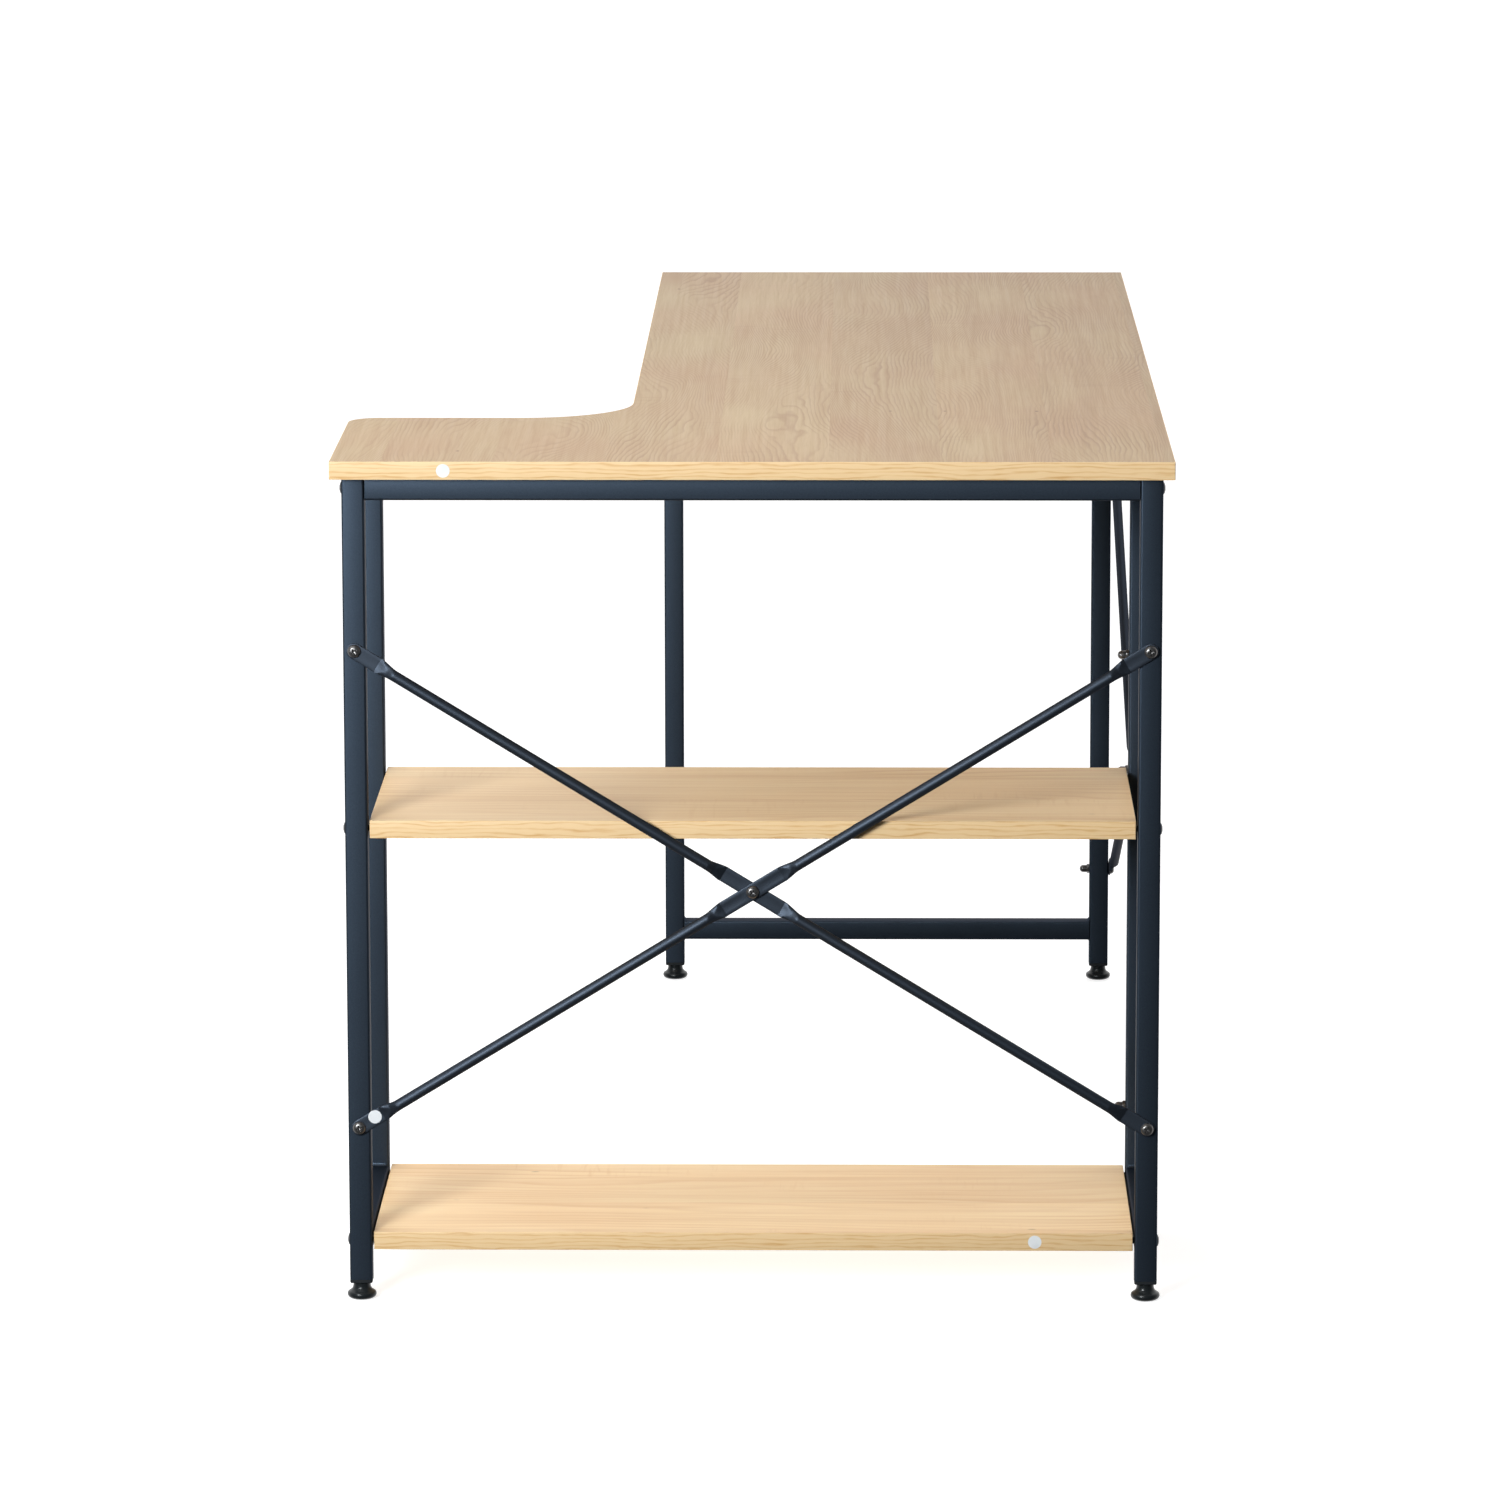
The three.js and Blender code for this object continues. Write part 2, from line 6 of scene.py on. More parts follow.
import math

import bpy
import numpy as np
from mathutils import Matrix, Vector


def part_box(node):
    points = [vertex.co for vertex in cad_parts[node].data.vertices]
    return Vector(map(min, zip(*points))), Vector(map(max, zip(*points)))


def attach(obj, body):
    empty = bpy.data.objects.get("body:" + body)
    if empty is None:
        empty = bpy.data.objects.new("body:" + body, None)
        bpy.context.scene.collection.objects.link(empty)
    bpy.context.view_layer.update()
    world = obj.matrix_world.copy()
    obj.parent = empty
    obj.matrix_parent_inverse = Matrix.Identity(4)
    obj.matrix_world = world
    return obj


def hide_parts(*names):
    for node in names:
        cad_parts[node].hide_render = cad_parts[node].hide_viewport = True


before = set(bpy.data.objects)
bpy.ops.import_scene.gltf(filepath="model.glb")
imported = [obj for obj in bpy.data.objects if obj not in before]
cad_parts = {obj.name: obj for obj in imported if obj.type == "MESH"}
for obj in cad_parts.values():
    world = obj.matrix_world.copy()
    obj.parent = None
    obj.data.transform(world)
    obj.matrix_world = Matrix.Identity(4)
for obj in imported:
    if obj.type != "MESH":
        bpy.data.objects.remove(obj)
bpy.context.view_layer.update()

# ---- Camera ----
# A long lens a little above the desk, looking along the wing from in front of the shelf tower.

CAMERA_PLACE = (0.095, -7.157, 1.6931)
CAMERA_TURN, CAMERA_PITCH, CAMERA_ROLL = 0.86, 79.553, -0.085
LENS_MM = 179.28
SENSOR_WIDTH_MM = 36

camera = bpy.data.objects.new("camera", bpy.data.cameras.new("camera"))
camera.data.lens = LENS_MM
camera.data.sensor_width = SENSOR_WIDTH_MM
camera.matrix_world = (
    Matrix.Translation(CAMERA_PLACE)
    @ Matrix.Rotation(math.radians(CAMERA_TURN), 4, "Z")
    @ Matrix.Rotation(math.radians(CAMERA_PITCH), 4, "X")
    @ Matrix.Rotation(math.radians(CAMERA_ROLL), 4, "Z")
)
bpy.context.scene.collection.objects.link(camera)
bpy.context.scene.camera = camera
bpy.context.scene.view_settings.view_transform = "Standard"

# ---- Studio: floor and light ----
# A plain white floor and room with three soft lights: a strong one at the front left, a weak one at the
# left and another weak one overhead.


def add_node(tree, kind, inputs=(), **options):
    """One shader node. options are its own settings; inputs maps a socket to a value or to the socket
    that feeds it."""
    made = tree.nodes.new(kind)
    for option, value in options.items():
        setattr(made, option, value)
    for socket, value in dict(inputs).items():
        if isinstance(value, bpy.types.NodeSocket):
            tree.links.new(value, made.inputs[socket])
        else:
            made.inputs[socket].default_value = value
    return made


FLOOR_HALF = 40.0
BACKDROP_RADIUS = 39.0
BACKDROP_LEVELS = 8
BACKDROP_SIDES = 36


def stage_piece(name, points, faces, base, glow):
    """A piece of the plain white studio. Only the camera sees it, so that it throws no light of its own
    on the desk; it glows a little, to stay white where the lamps don't reach."""
    mesh = bpy.data.meshes.new(name)
    mesh.from_pydata(np.asarray(points, float).reshape(-1, 3).tolist(), [], np.asarray(faces).tolist())
    paint = bpy.data.materials.new(name + "_paint")
    paint.use_nodes = True
    shader = paint.node_tree.nodes["Principled BSDF"]
    shader.inputs["Base Color"].default_value = (base, base, base, 1)
    shader.inputs["Roughness"].default_value = 0.9
    shader.inputs["Specular IOR Level"].default_value = 0.0
    shader.inputs["Emission Color"].default_value = (1, 1, 1, 1)
    shader.inputs["Emission Strength"].default_value = glow
    mesh.materials.append(paint)
    piece = bpy.data.objects.new(name, mesh)
    piece.visible_diffuse = False
    piece.visible_glossy = False
    piece.visible_shadow = False
    bpy.context.scene.collection.objects.link(piece)


floor_points = [(-FLOOR_HALF, -FLOOR_HALF, 0), (FLOOR_HALF, -FLOOR_HALF, 0)]
floor_points += [(FLOOR_HALF, FLOOR_HALF, 0), (-FLOOR_HALF, FLOOR_HALF, 0)]
stage_piece("floor", floor_points, [(0, 1, 2, 3)], base=0.6, glow=0.72)
level = np.radians(np.linspace(-20, 85, BACKDROP_LEVELS))
around = np.radians(np.linspace(0, 360, BACKDROP_SIDES, endpoint=False))
level, around = np.meshgrid(level, around, indexing="ij")
dome_points = BACKDROP_RADIUS * np.stack(
    [np.cos(level) * np.cos(around), np.cos(level) * np.sin(around), np.sin(level)], -1
)
row, column = np.indices((BACKDROP_LEVELS - 1, BACKDROP_SIDES))
next_column = (column + 1) % BACKDROP_SIDES
dome_corners = [(row, column), (row, next_column), (row + 1, next_column), (row + 1, column)]
dome_faces = np.stack([r * BACKDROP_SIDES + c for r, c in dome_corners], -1)
stage_piece("backdrop", dome_points, dome_faces.reshape(-1, 4), base=0.0, glow=1.0)

# The room is bright behind the desk and dim in front of it.
ROOM_FRONT, ROOM_BACK = 0.02, 1.5
world = bpy.data.worlds.new("studio")
world.use_nodes = True
room = world.node_tree
direction = add_node(room, "ShaderNodeTexCoord").outputs["Generated"]
bright_side = {0: direction, 1: (0.0, 1.0, 0.0)}
depth = add_node(room, "ShaderNodeVectorMath", bright_side, operation="DOT_PRODUCT").outputs["Value"]
fade = {"Value": depth, "From Min": -0.45, "From Max": 0.65, "To Min": ROOM_FRONT, "To Max": ROOM_BACK}
glow = add_node(room, "ShaderNodeMapRange", fade, interpolation_type="SMOOTHSTEP").outputs["Result"]
room.nodes["Background"].inputs["Color"].default_value = (1, 1, 1, 1)
room.links.new(glow, room.nodes["Background"].inputs["Strength"])
bpy.context.scene.world = world


def add_softbox(name, place, target, size, power, colour):
    """A square area light at place, facing target. size is its width in metres and power is in watts."""
    softbox = bpy.data.objects.new(name, bpy.data.lights.new(name, "AREA"))
    softbox.data.color = colour
    softbox.visible_camera = False
    softbox.data.size = size
    softbox.data.energy = power
    away = np.subtract(place, target)
    yaw = math.atan2(away[1], away[0]) + math.pi / 2
    tilt = math.atan2(math.hypot(away[0], away[1]), away[2])
    softbox.matrix_world = (
        Matrix.Translation(place) @ Matrix.Rotation(yaw, 4, "Z") @ Matrix.Rotation(tilt, 4, "X")
    )
    bpy.context.scene.collection.objects.link(softbox)


add_softbox("front_softbox", (-1.5, -3.6, 1.45), (0.0, -0.6, 0.5), 1.0, 150, (0.92, 0.97, 1.0))
add_softbox("left_softbox", (-1.9, -1.6, 2.4), (0.0, -0.2, 0.7), 1.0, 7, (1.0, 0.98, 0.94))
add_softbox("overhead_softbox", (-0.8, -0.6, 3.0), (0.0, 0.1, 0.7), 2.2, 20, (1.0, 0.98, 0.95))

# ---- Worktop ----
# One L-shaped particle board with a wood-print laminate on both faces, saw-cut and routed to shape.
# Its sides are covered by a thin glued band with a paler straight-grained print.

MM = 0.001
WING_EDGE_X = -0.115
SHORT_EDGE_Y = -0.420
INNER_CORNER_RADIUS = 100 * MM
FREE_CORNER_RADIUS = 28 * MM
BAND_CORNER_RADIUS = 1.2 * MM
BAND_SET_IN = 0.15 * MM
BAND_THICKNESS = 0.5 * MM
BAND_SEAM = 0.02 * MM
BAND_ARRIS = 0.45 * MM
STAVE_WIDTH = 0.098
STAVE_TONE = 0.09
LINE_DEPTH = 0.8
SWIRL_REACH = 0.17
WOBBLE_REACH = 0.010
KNOT_BROWN = (0.16, 0.075, 0.035, 1)
WORKTOP_LIGHT = (0.50, 0.367, 0.196, 1)
WORKTOP_DARK = (0.325, 0.185, 0.090, 1)
# Painted shade: this tint darkens the worktop print towards the wall side, where the light falls off.
WORKTOP_WALL_SIDE_SHADE = (0.83, 0.79, 0.74, 1)
WORKTOP_WARM = (0.475, 0.307, 0.163, 1)
BAND_LIGHT = (0.83, 0.60, 0.335, 1)
BAND_DARK = (0.62, 0.335, 0.115, 1)


def rounded_outline(corners, radii, steps):
    """Points round a closed outline. Each corner becomes an arc of its radius, tangent to both of its
    sides: the arc starts radius x tan(half turn) before the corner and turns by the corner's angle."""
    corners = np.asarray(corners, float)
    points = []
    for before, corner, after, radius in zip(np.roll(corners, 1, 0), corners, np.roll(corners, -1, 0), radii):
        ahead = (corner - before) / np.linalg.norm(corner - before)
        leaving = (after - corner) / np.linalg.norm(after - corner)
        left = np.array([-ahead[1], ahead[0]])
        turn = math.atan2(leaving @ left, leaving @ ahead)
        side = math.copysign(1, turn)
        start = corner - ahead * radius * math.tan(abs(turn) / 2)
        angle = np.linspace(0, abs(turn), steps)[:, None]
        centre = start + side * left * radius
        points.append(centre + radius * (ahead * np.sin(angle) - side * left * np.cos(angle)))
    return np.concatenate(points)


def inset(outline, distance):
    """The outline moved inwards by a distance: each point moves along the sum of its two sides' inward
    normals, divided by one plus their dot product."""
    ahead = np.roll(outline, -1, 0) - outline
    ahead /= np.linalg.norm(ahead, axis=1)[:, None]
    inward = np.stack([-ahead[:, 1], ahead[:, 0]], 1)
    behind = np.roll(inward, 1, 0)
    scale = 1 + (inward * behind).sum(1)
    return outline + distance * (inward + behind) / scale[:, None]


def ring_piece(name, rings, joined=False, along=None, across=None, sharp=32):
    """A closed surface through rings of points, an array of ring x point x 3. Each point joins its
    neighbours in the ring and the same point of the next ring. joined carries the last ring back to the
    first; otherwise a flat face closes each end. along and across are lengths for the UV map."""
    rings = np.asarray(rings, float)
    count, around = rings.shape[:2]
    ring, point = np.indices((count if joined else count - 1, around))
    next_ring, next_point = (ring + 1) % count, (point + 1) % around
    pairs = [(ring, point), (ring, next_point), (next_ring, next_point), (next_ring, point)]
    faces = np.stack([r * around + p for r, p in pairs], -1).reshape(-1, 4).tolist()
    if not joined:
        faces += [list(range(around))[::-1], list(range((count - 1) * around, count * around))]
    mesh = bpy.data.meshes.new(name)
    mesh.from_pydata(rings.reshape(-1, 3).tolist(), [], faces)
    if along is not None:
        u = np.stack([along[point], along[point + 1], along[point + 1], along[point]], -1)
        v = np.stack([across[ring], across[ring], across[ring + 1], across[ring + 1]], -1)
        mesh.uv_layers.new(name="UVMap").uv.foreach_set("vector", np.stack([u, v], -1).ravel())
    corners = rings.reshape(-1, 3)[np.array(faces[: ring.size])]
    halves = [(0, 1, 2), (0, 2, 3)]
    volume = sum(
        (corners[:, a] * np.cross(corners[:, b], corners[:, c])).sum() for a, b, c in halves
    )
    if not joined:
        for face in faces[ring.size :]:
            loop = rings.reshape(-1, 3)[np.array(face)]
            volume += (loop[0] * np.cross(loop[1:-1], loop[2:])).sum()
    if volume < 0:
        mesh.flip_normals()
    mesh.shade_smooth()
    mesh.set_sharp_from_angle(angle=math.radians(sharp))
    piece = bpy.data.objects.new(name, mesh)
    bpy.context.scene.collection.objects.link(piece)
    return piece


def board_piece(name, outline, bottom, top):
    """A flat board: its outline at the bottom and at the top, each closed by a flat face."""
    rings = [np.column_stack([outline, np.full(len(outline), z)]) for z in (bottom, top)]
    return ring_piece(name, rings)


def band_piece(name, outline, bottom, top):
    """A thin band round a board. Its section is a rectangle with rounded outer corners, carried round
    the outline; each section point is the outline inset by its depth, at its height."""
    turn = np.linspace(0, np.pi / 2, 5)
    lower = np.stack([BAND_ARRIS * (1 - np.sin(turn)), bottom + BAND_ARRIS * (1 - np.cos(turn))], 1)
    upper = np.stack([BAND_ARRIS * (1 - np.cos(turn)), top - BAND_ARRIS * (1 - np.sin(turn))], 1)
    back = [[BAND_THICKNESS, top], [BAND_THICKNESS, bottom]]
    section = np.concatenate([lower, upper, back])
    rings = [np.column_stack([inset(outline, depth), np.full(len(outline), z)]) for depth, z in section]
    steps = np.linalg.norm(np.roll(outline, -1, 0) - outline, axis=1)
    along = np.concatenate([[0], np.cumsum(steps)])
    across = np.append(section[:, 1], section[0, 1])
    return ring_piece(name, rings, joined=True, along=along, across=across)


def laminate(name, turned_by, offset, light, dark, warm, lines_per_metre, broad, wall_side_shade):
    """Printed beech laminate. Staves of one width each take their figure from another place of one
    field; growth lines are the contours of the distance across the grain plus stretched noise. broad is
    the strength of the wide streaks. The wall-side tint is painted shade: it darkens the colour towards
    the wall side (+X), where the light falls off."""
    material = bpy.data.materials.new(name)
    material.use_nodes = True
    tree = material.node_tree
    shader = tree.nodes["Principled BSDF"]

    def node(kind, inputs=(), **options):
        return add_node(tree, kind, inputs, **options)

    def math_of(operation, first, second=0.0, third=0.0):
        return node("ShaderNodeMath", {0: first, 1: second, 2: third}, operation=operation).outputs[0]

    def noise_of(vector, stretch, detail=2.0, roughness=0.5, distortion=0.0):
        scaled = node("ShaderNodeMapping", {"Vector": vector, "Scale": stretch}).outputs["Vector"]
        inputs = {"Vector": scaled, "Scale": 1.0, "Detail": detail, "Roughness": roughness}
        return node("ShaderNodeTexNoise", {**inputs, "Distortion": distortion}).outputs["Fac"]

    def ramp_of(factor, *stops):
        made = node("ShaderNodeValToRGB", {"Fac": factor})
        elements = made.color_ramp.elements
        while len(elements) < len(stops):
            elements.new(0.5)
        for element, (position, value) in zip(elements, stops):
            element.position = position
            element.color = (value, value, value, 1)
        return made.outputs["Color"]

    def mix_of(factor, first, second, blend="MIX"):
        made = node("ShaderNodeMix", {"Factor": factor}, data_type="RGBA", blend_type=blend)
        for socket, value in ((6, first), (7, second)):
            if isinstance(value, bpy.types.NodeSocket):
                tree.links.new(value, made.inputs[socket])
            else:
                made.inputs[socket].default_value = value
        return made.outputs[2]

    place = node("ShaderNodeTexCoord").outputs["Object"]
    turn = {"Vector": place, "Rotation": (0, 0, math.radians(turned_by)), "Location": offset}
    grain = node("ShaderNodeMapping", turn).outputs["Vector"]
    across = node("ShaderNodeSeparateXYZ", {"Vector": grain}).outputs["X"]
    stave = math_of("FLOOR", math_of("DIVIDE", across, STAVE_WIDTH))
    draw = node("ShaderNodeTexWhiteNoise", {"W": stave}, noise_dimensions="1D").outputs
    shift = node("ShaderNodeVectorMath", {0: draw["Color"], 1: (3, 17, 9)}, operation="MULTIPLY").outputs[0]
    figure = node("ShaderNodeVectorMath", {0: grain, 1: shift}, operation="ADD").outputs[0]

    swirl = noise_of(figure, (8.0, 1.4, 1), detail=1.5, roughness=0.45, distortion=0.3)
    wobble = noise_of(figure, (42, 9, 1), detail=2.0)
    rings = math_of("MULTIPLY_ADD", swirl, SWIRL_REACH, across)
    rings = math_of("MULTIPLY_ADD", wobble, WOBBLE_REACH, rings)
    rings = math_of("MULTIPLY", rings, lines_per_metre)
    line = ramp_of(math_of("FRACT", rings), (0.0, 0.0), (0.5, 0.2), (0.82, 1.0), (1.0, 0.0))
    strength = ramp_of(noise_of(figure, (11, 4, 1), detail=2.0), (0.36, 0.1), (0.66, 1.0))
    fibre = noise_of(figure, (1100, 22, 1), detail=3.0, roughness=0.6)
    streak = noise_of(figure, (260, 5, 1), detail=3.0, roughness=0.6)
    band = noise_of(figure, (48, 1.9, 1), detail=4.0, roughness=0.6)
    ripple = noise_of(figure, (16, 210, 1), detail=1.0, distortion=0.6)
    ripple_place = ramp_of(noise_of(figure, (9, 7, 1)), (0.52, 0.0), (0.72, 1.0))
    blotch = ramp_of(noise_of(figure, (9, 3.6, 1), detail=3.0), (0.3, 0.0), (0.7, 1.0))
    fleck = node("ShaderNodeMapping", {"Vector": figure, "Scale": (15, 5.5, 1)}).outputs["Vector"]
    fleck = node("ShaderNodeTexVoronoi", {"Vector": fleck, "Scale": 1.0}).outputs["Distance"]
    fleck = ramp_of(fleck, (0.012, 1.0), (0.03, 0.0))

    colour = mix_of(blotch, light, warm)
    tone = math_of("MULTIPLY_ADD", draw["Value"], STAVE_TONE, 1 - STAVE_TONE / 2)
    tone = node("ShaderNodeCombineColor", {0: tone, 1: tone, 2: tone}).outputs[0]
    colour = mix_of(1.0, colour, tone, "MULTIPLY")
    colour = mix_of(math_of("MULTIPLY", math_of("MULTIPLY", line, strength), LINE_DEPTH), colour, dark)
    colour = mix_of(math_of("MULTIPLY", ramp_of(streak, (0.42, 0.0), (0.75, 1.0)), 0.28), colour, dark)
    colour = mix_of(math_of("MULTIPLY", ramp_of(band, (0.45, 0.0), (0.7, 1.0)), broad), colour, dark)
    colour = mix_of(math_of("MULTIPLY", ramp_of(fibre, (0.45, 0.0), (0.8, 1.0)), 0.3), colour, dark)
    ripple = math_of("MULTIPLY", ramp_of(ripple, (0.55, 0.0), (0.72, 1.0)), ripple_place)
    ripple = math_of("MULTIPLY", ripple, 0.4)
    colour = mix_of(ripple, colour, dark)
    colour = mix_of(math_of("MULTIPLY", fleck, 0.7), colour, KNOT_BROWN)
    # Painted shade: the colour is multiplied by the wall-side tint, more so towards the wall side (+X), where
    # the light falls off.
    painted_shade_ramp = node("ShaderNodeSeparateXYZ", {"Vector": place}).outputs["X"]
    painted_shade_ramp = {"Value": painted_shade_ramp, "From Min": -0.05, "From Max": 0.38}
    painted_shade_ramp = node("ShaderNodeMapRange", painted_shade_ramp, interpolation_type="SMOOTHSTEP").outputs["Result"]
    colour = mix_of(painted_shade_ramp, colour, mix_of(1.0, colour, wall_side_shade, "MULTIPLY"))
    tree.links.new(colour, shader.inputs["Base Color"])
    gloss = math_of("MULTIPLY_ADD", streak, 0.14, 0.4)
    tree.links.new(gloss, shader.inputs["Roughness"])
    shader.inputs["Specular IOR Level"].default_value = 0.17
    bump = {"Height": fibre, "Strength": 0.12, "Distance": 0.05 * MM}
    tree.links.new(node("ShaderNodeBump", bump).outputs["Normal"], shader.inputs["Normal"])
    return material


def edge_band_print():
    """The band's print, in its UV map of metres along and up the band: thin wavy lines that run along
    it are contours of the height plus noise that is stretched along the band."""
    material = bpy.data.materials.new("edge_band_print")
    material.use_nodes = True
    tree = material.node_tree
    shader = tree.nodes["Principled BSDF"]
    place = add_node(tree, "ShaderNodeUVMap", uv_map="UVMap").outputs["UV"]

    def noise_of(stretch, detail):
        scaled = add_node(tree, "ShaderNodeMapping", {"Vector": place, "Scale": stretch}).outputs["Vector"]
        inputs = {"Vector": scaled, "Scale": 1.0, "Detail": detail, "Roughness": 0.55}
        return add_node(tree, "ShaderNodeTexNoise", inputs).outputs["Fac"]

    def math_of(operation, first, second=0.0, third=0.0):
        inputs = {0: first, 1: second, 2: third}
        return add_node(tree, "ShaderNodeMath", inputs, operation=operation).outputs[0]

    height = add_node(tree, "ShaderNodeSeparateXYZ", {"Vector": place}).outputs["Y"]
    rings = math_of("MULTIPLY_ADD", noise_of((13, 75, 1), 3.0), 3.4, math_of("MULTIPLY", height, 250.0))
    line = add_node(tree, "ShaderNodeValToRGB", {"Fac": math_of("FRACT", rings)})
    stops = [(0.0, 0.1), (0.5, 0.12), (0.78, 1.0), (1.0, 0.1)]
    elements = line.color_ramp.elements
    while len(elements) < len(stops):
        elements.new(0.5)
    for element, (position, value) in zip(elements, stops):
        element.position = position
        element.color = (value, value, value, 1)
    strength = math_of("MULTIPLY_ADD", noise_of((30, 160, 1), 2.0), 1.5, -0.25)
    fibre = noise_of((60, 1500, 1), 3.0)
    factor = math_of("MULTIPLY", line.outputs["Color"], strength)
    factor = math_of("MULTIPLY_ADD", fibre, 0.25, math_of("MULTIPLY", factor, 1.05))
    colour = add_node(tree, "ShaderNodeMix", {"Factor": factor}, data_type="RGBA", clamp_factor=True)
    colour.inputs[6].default_value = BAND_LIGHT
    colour.inputs[7].default_value = BAND_DARK
    tree.links.new(colour.outputs[2], shader.inputs["Base Color"])
    tree.links.new(math_of("MULTIPLY_ADD", fibre, 0.16, 0.38), shader.inputs["Roughness"])
    shader.inputs["Specular IOR Level"].default_value = 0.4
    bump = {"Height": fibre, "Strength": 0.15, "Distance": 0.05 * MM}
    tree.links.new(add_node(tree, "ShaderNodeBump", bump).outputs["Normal"], shader.inputs["Normal"])
    return material


band_print = edge_band_print()
worktop_print = laminate(
    "worktop_laminate",
    turned_by=0,
    offset=(0.031, 0, 0),
    light=WORKTOP_LIGHT,
    dark=WORKTOP_DARK,
    warm=WORKTOP_WARM,
    lines_per_metre=290.0,
    broad=0.2,
    wall_side_shade=WORKTOP_WALL_SIDE_SHADE,
)
low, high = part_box("worktop")
worktop_corners = [(low.x, low.y), (high.x, low.y), (high.x, high.y)]
worktop_corners += [(WING_EDGE_X, high.y), (WING_EDGE_X, SHORT_EDGE_Y), (low.x, SHORT_EDGE_Y)]
worktop_radii = [BAND_CORNER_RADIUS] * 4 + [INNER_CORNER_RADIUS, FREE_CORNER_RADIUS]
worktop_outline = inset(rounded_outline(worktop_corners, worktop_radii, 40), BAND_SET_IN)
worktop_board = board_piece(
    "worktop_board", inset(worktop_outline, BAND_THICKNESS + BAND_SEAM), low.z, high.z
)
worktop_board.data.materials.append(worktop_print)
worktop_band = band_piece("worktop_edge_band", worktop_outline, low.z, high.z)
worktop_band.data.materials.append(band_print)
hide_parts("worktop")
for piece in (worktop_board, worktop_band):
    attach(piece, "desk")

# ---- Shelves ----
# Two laminated boards of the same kind, with the grain along their length and the same glued band. They
# hang between the tower's legs on bolts through the legs into their ends.

SHELF_LIGHT = (0.91, 0.70, 0.42, 1)
SHELF_DARK = (0.72, 0.45, 0.22, 1)
SHELF_WARM = (0.88, 0.63, 0.36, 1)

for shelf, shift in (("middle_shelf", 0.3), ("lower_shelf", 0.7)):
    shelf_print = laminate(
        shelf + "_laminate",
        turned_by=90,
        offset=(shift, shift, 0),
        light=SHELF_LIGHT,
        dark=SHELF_DARK,
        warm=SHELF_WARM,
        lines_per_metre=75.0,
        broad=0.5,
        wall_side_shade=(1, 1, 1, 1),
    )
    low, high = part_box(shelf)
    shelf_corners = [(low.x, low.y), (high.x, low.y), (high.x, high.y), (low.x, high.y)]
    shelf_outline = rounded_outline(shelf_corners, [BAND_CORNER_RADIUS] * 4, 6)
    shelf_outline = inset(shelf_outline, BAND_SET_IN)
    board = board_piece(shelf + "_board", inset(shelf_outline, BAND_THICKNESS + BAND_SEAM), low.z, high.z)
    board.data.materials.append(shelf_print)
    band = band_piece(shelf + "_edge_band", shelf_outline, low.z, high.z)
    band.data.materials.append(band_print)
    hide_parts(shelf)
    for piece in (board, band):
        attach(piece, "desk")

# ---- Legs, crossbars and rails ----
# Square steel tube with a 1 mm wall and small corner radii, powder coated dark blue-grey. Crossbars are
# welded between the legs of each frame; the rails are bolted to the frames and stop just short of them.

TUBE_HALF = 10 * MM
TUBE_WALL = 1 * MM
TUBE_CORNER_RADIUS = 2 * MM
TUBE_END_ROUND = 0.15 * MM
RAIL_END_GAP = 0.35 * MM
FRAME_BLUE_GREY = (0.058, 0.079, 0.108, 1)
FRAME_BLUE_GREY_DEEP = (0.048, 0.065, 0.090, 1)
PAINT_METALLIC = 0.9
PAINT_EDGE_TINT = (0.30, 0.28, 0.27, 1)

ACROSS_AND_ALONG = {
    0: np.array([(0, 1, 0), (0, 0, 1), (1, 0, 0)]),
    1: np.array([(0, 0, 1), (1, 0, 0), (0, 1, 0)]),
    2: np.array([(1, 0, 0), (0, 1, 0), (0, 0, 1)]),
}


def square_outline(half, radius, steps=7):
    """A square with rounded corners, centred on its axis, drawn anticlockwise."""
    corners = [(-half, -half), (half, -half), (half, half), (-half, half)]
    return rounded_outline(corners, [radius] * 4, steps)


def square_tube(name, node, end_gap):
    """A square tube that fills a CAD node's box: rounded square rings run along the outside, over the
    end, back along the bore and over the other end."""
    low, high = (np.array(corner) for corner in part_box(node))
    axis = int(np.argmax(high - low))
    basis = ACROSS_AND_ALONG[axis]
    centre = (low + high) / 2
    half_length = (high - low)[axis] / 2 - end_gap
    outside = square_outline(TUBE_HALF, TUBE_CORNER_RADIUS)
    eased = square_outline(TUBE_HALF - TUBE_END_ROUND, TUBE_CORNER_RADIUS - TUBE_END_ROUND)
    bore = square_outline(TUBE_HALF - TUBE_WALL, TUBE_CORNER_RADIUS - TUBE_WALL)
    shoulder = half_length - TUBE_END_ROUND
    stations = [(eased, -half_length), (outside, -shoulder), (outside, shoulder)]
    stations += [(eased, half_length), (bore, half_length), (bore, -half_length)]
    rings = [
        centre + outline @ basis[:2] + along * basis[2] for outline, along in stations
    ]
    return ring_piece(name, rings, joined=True)


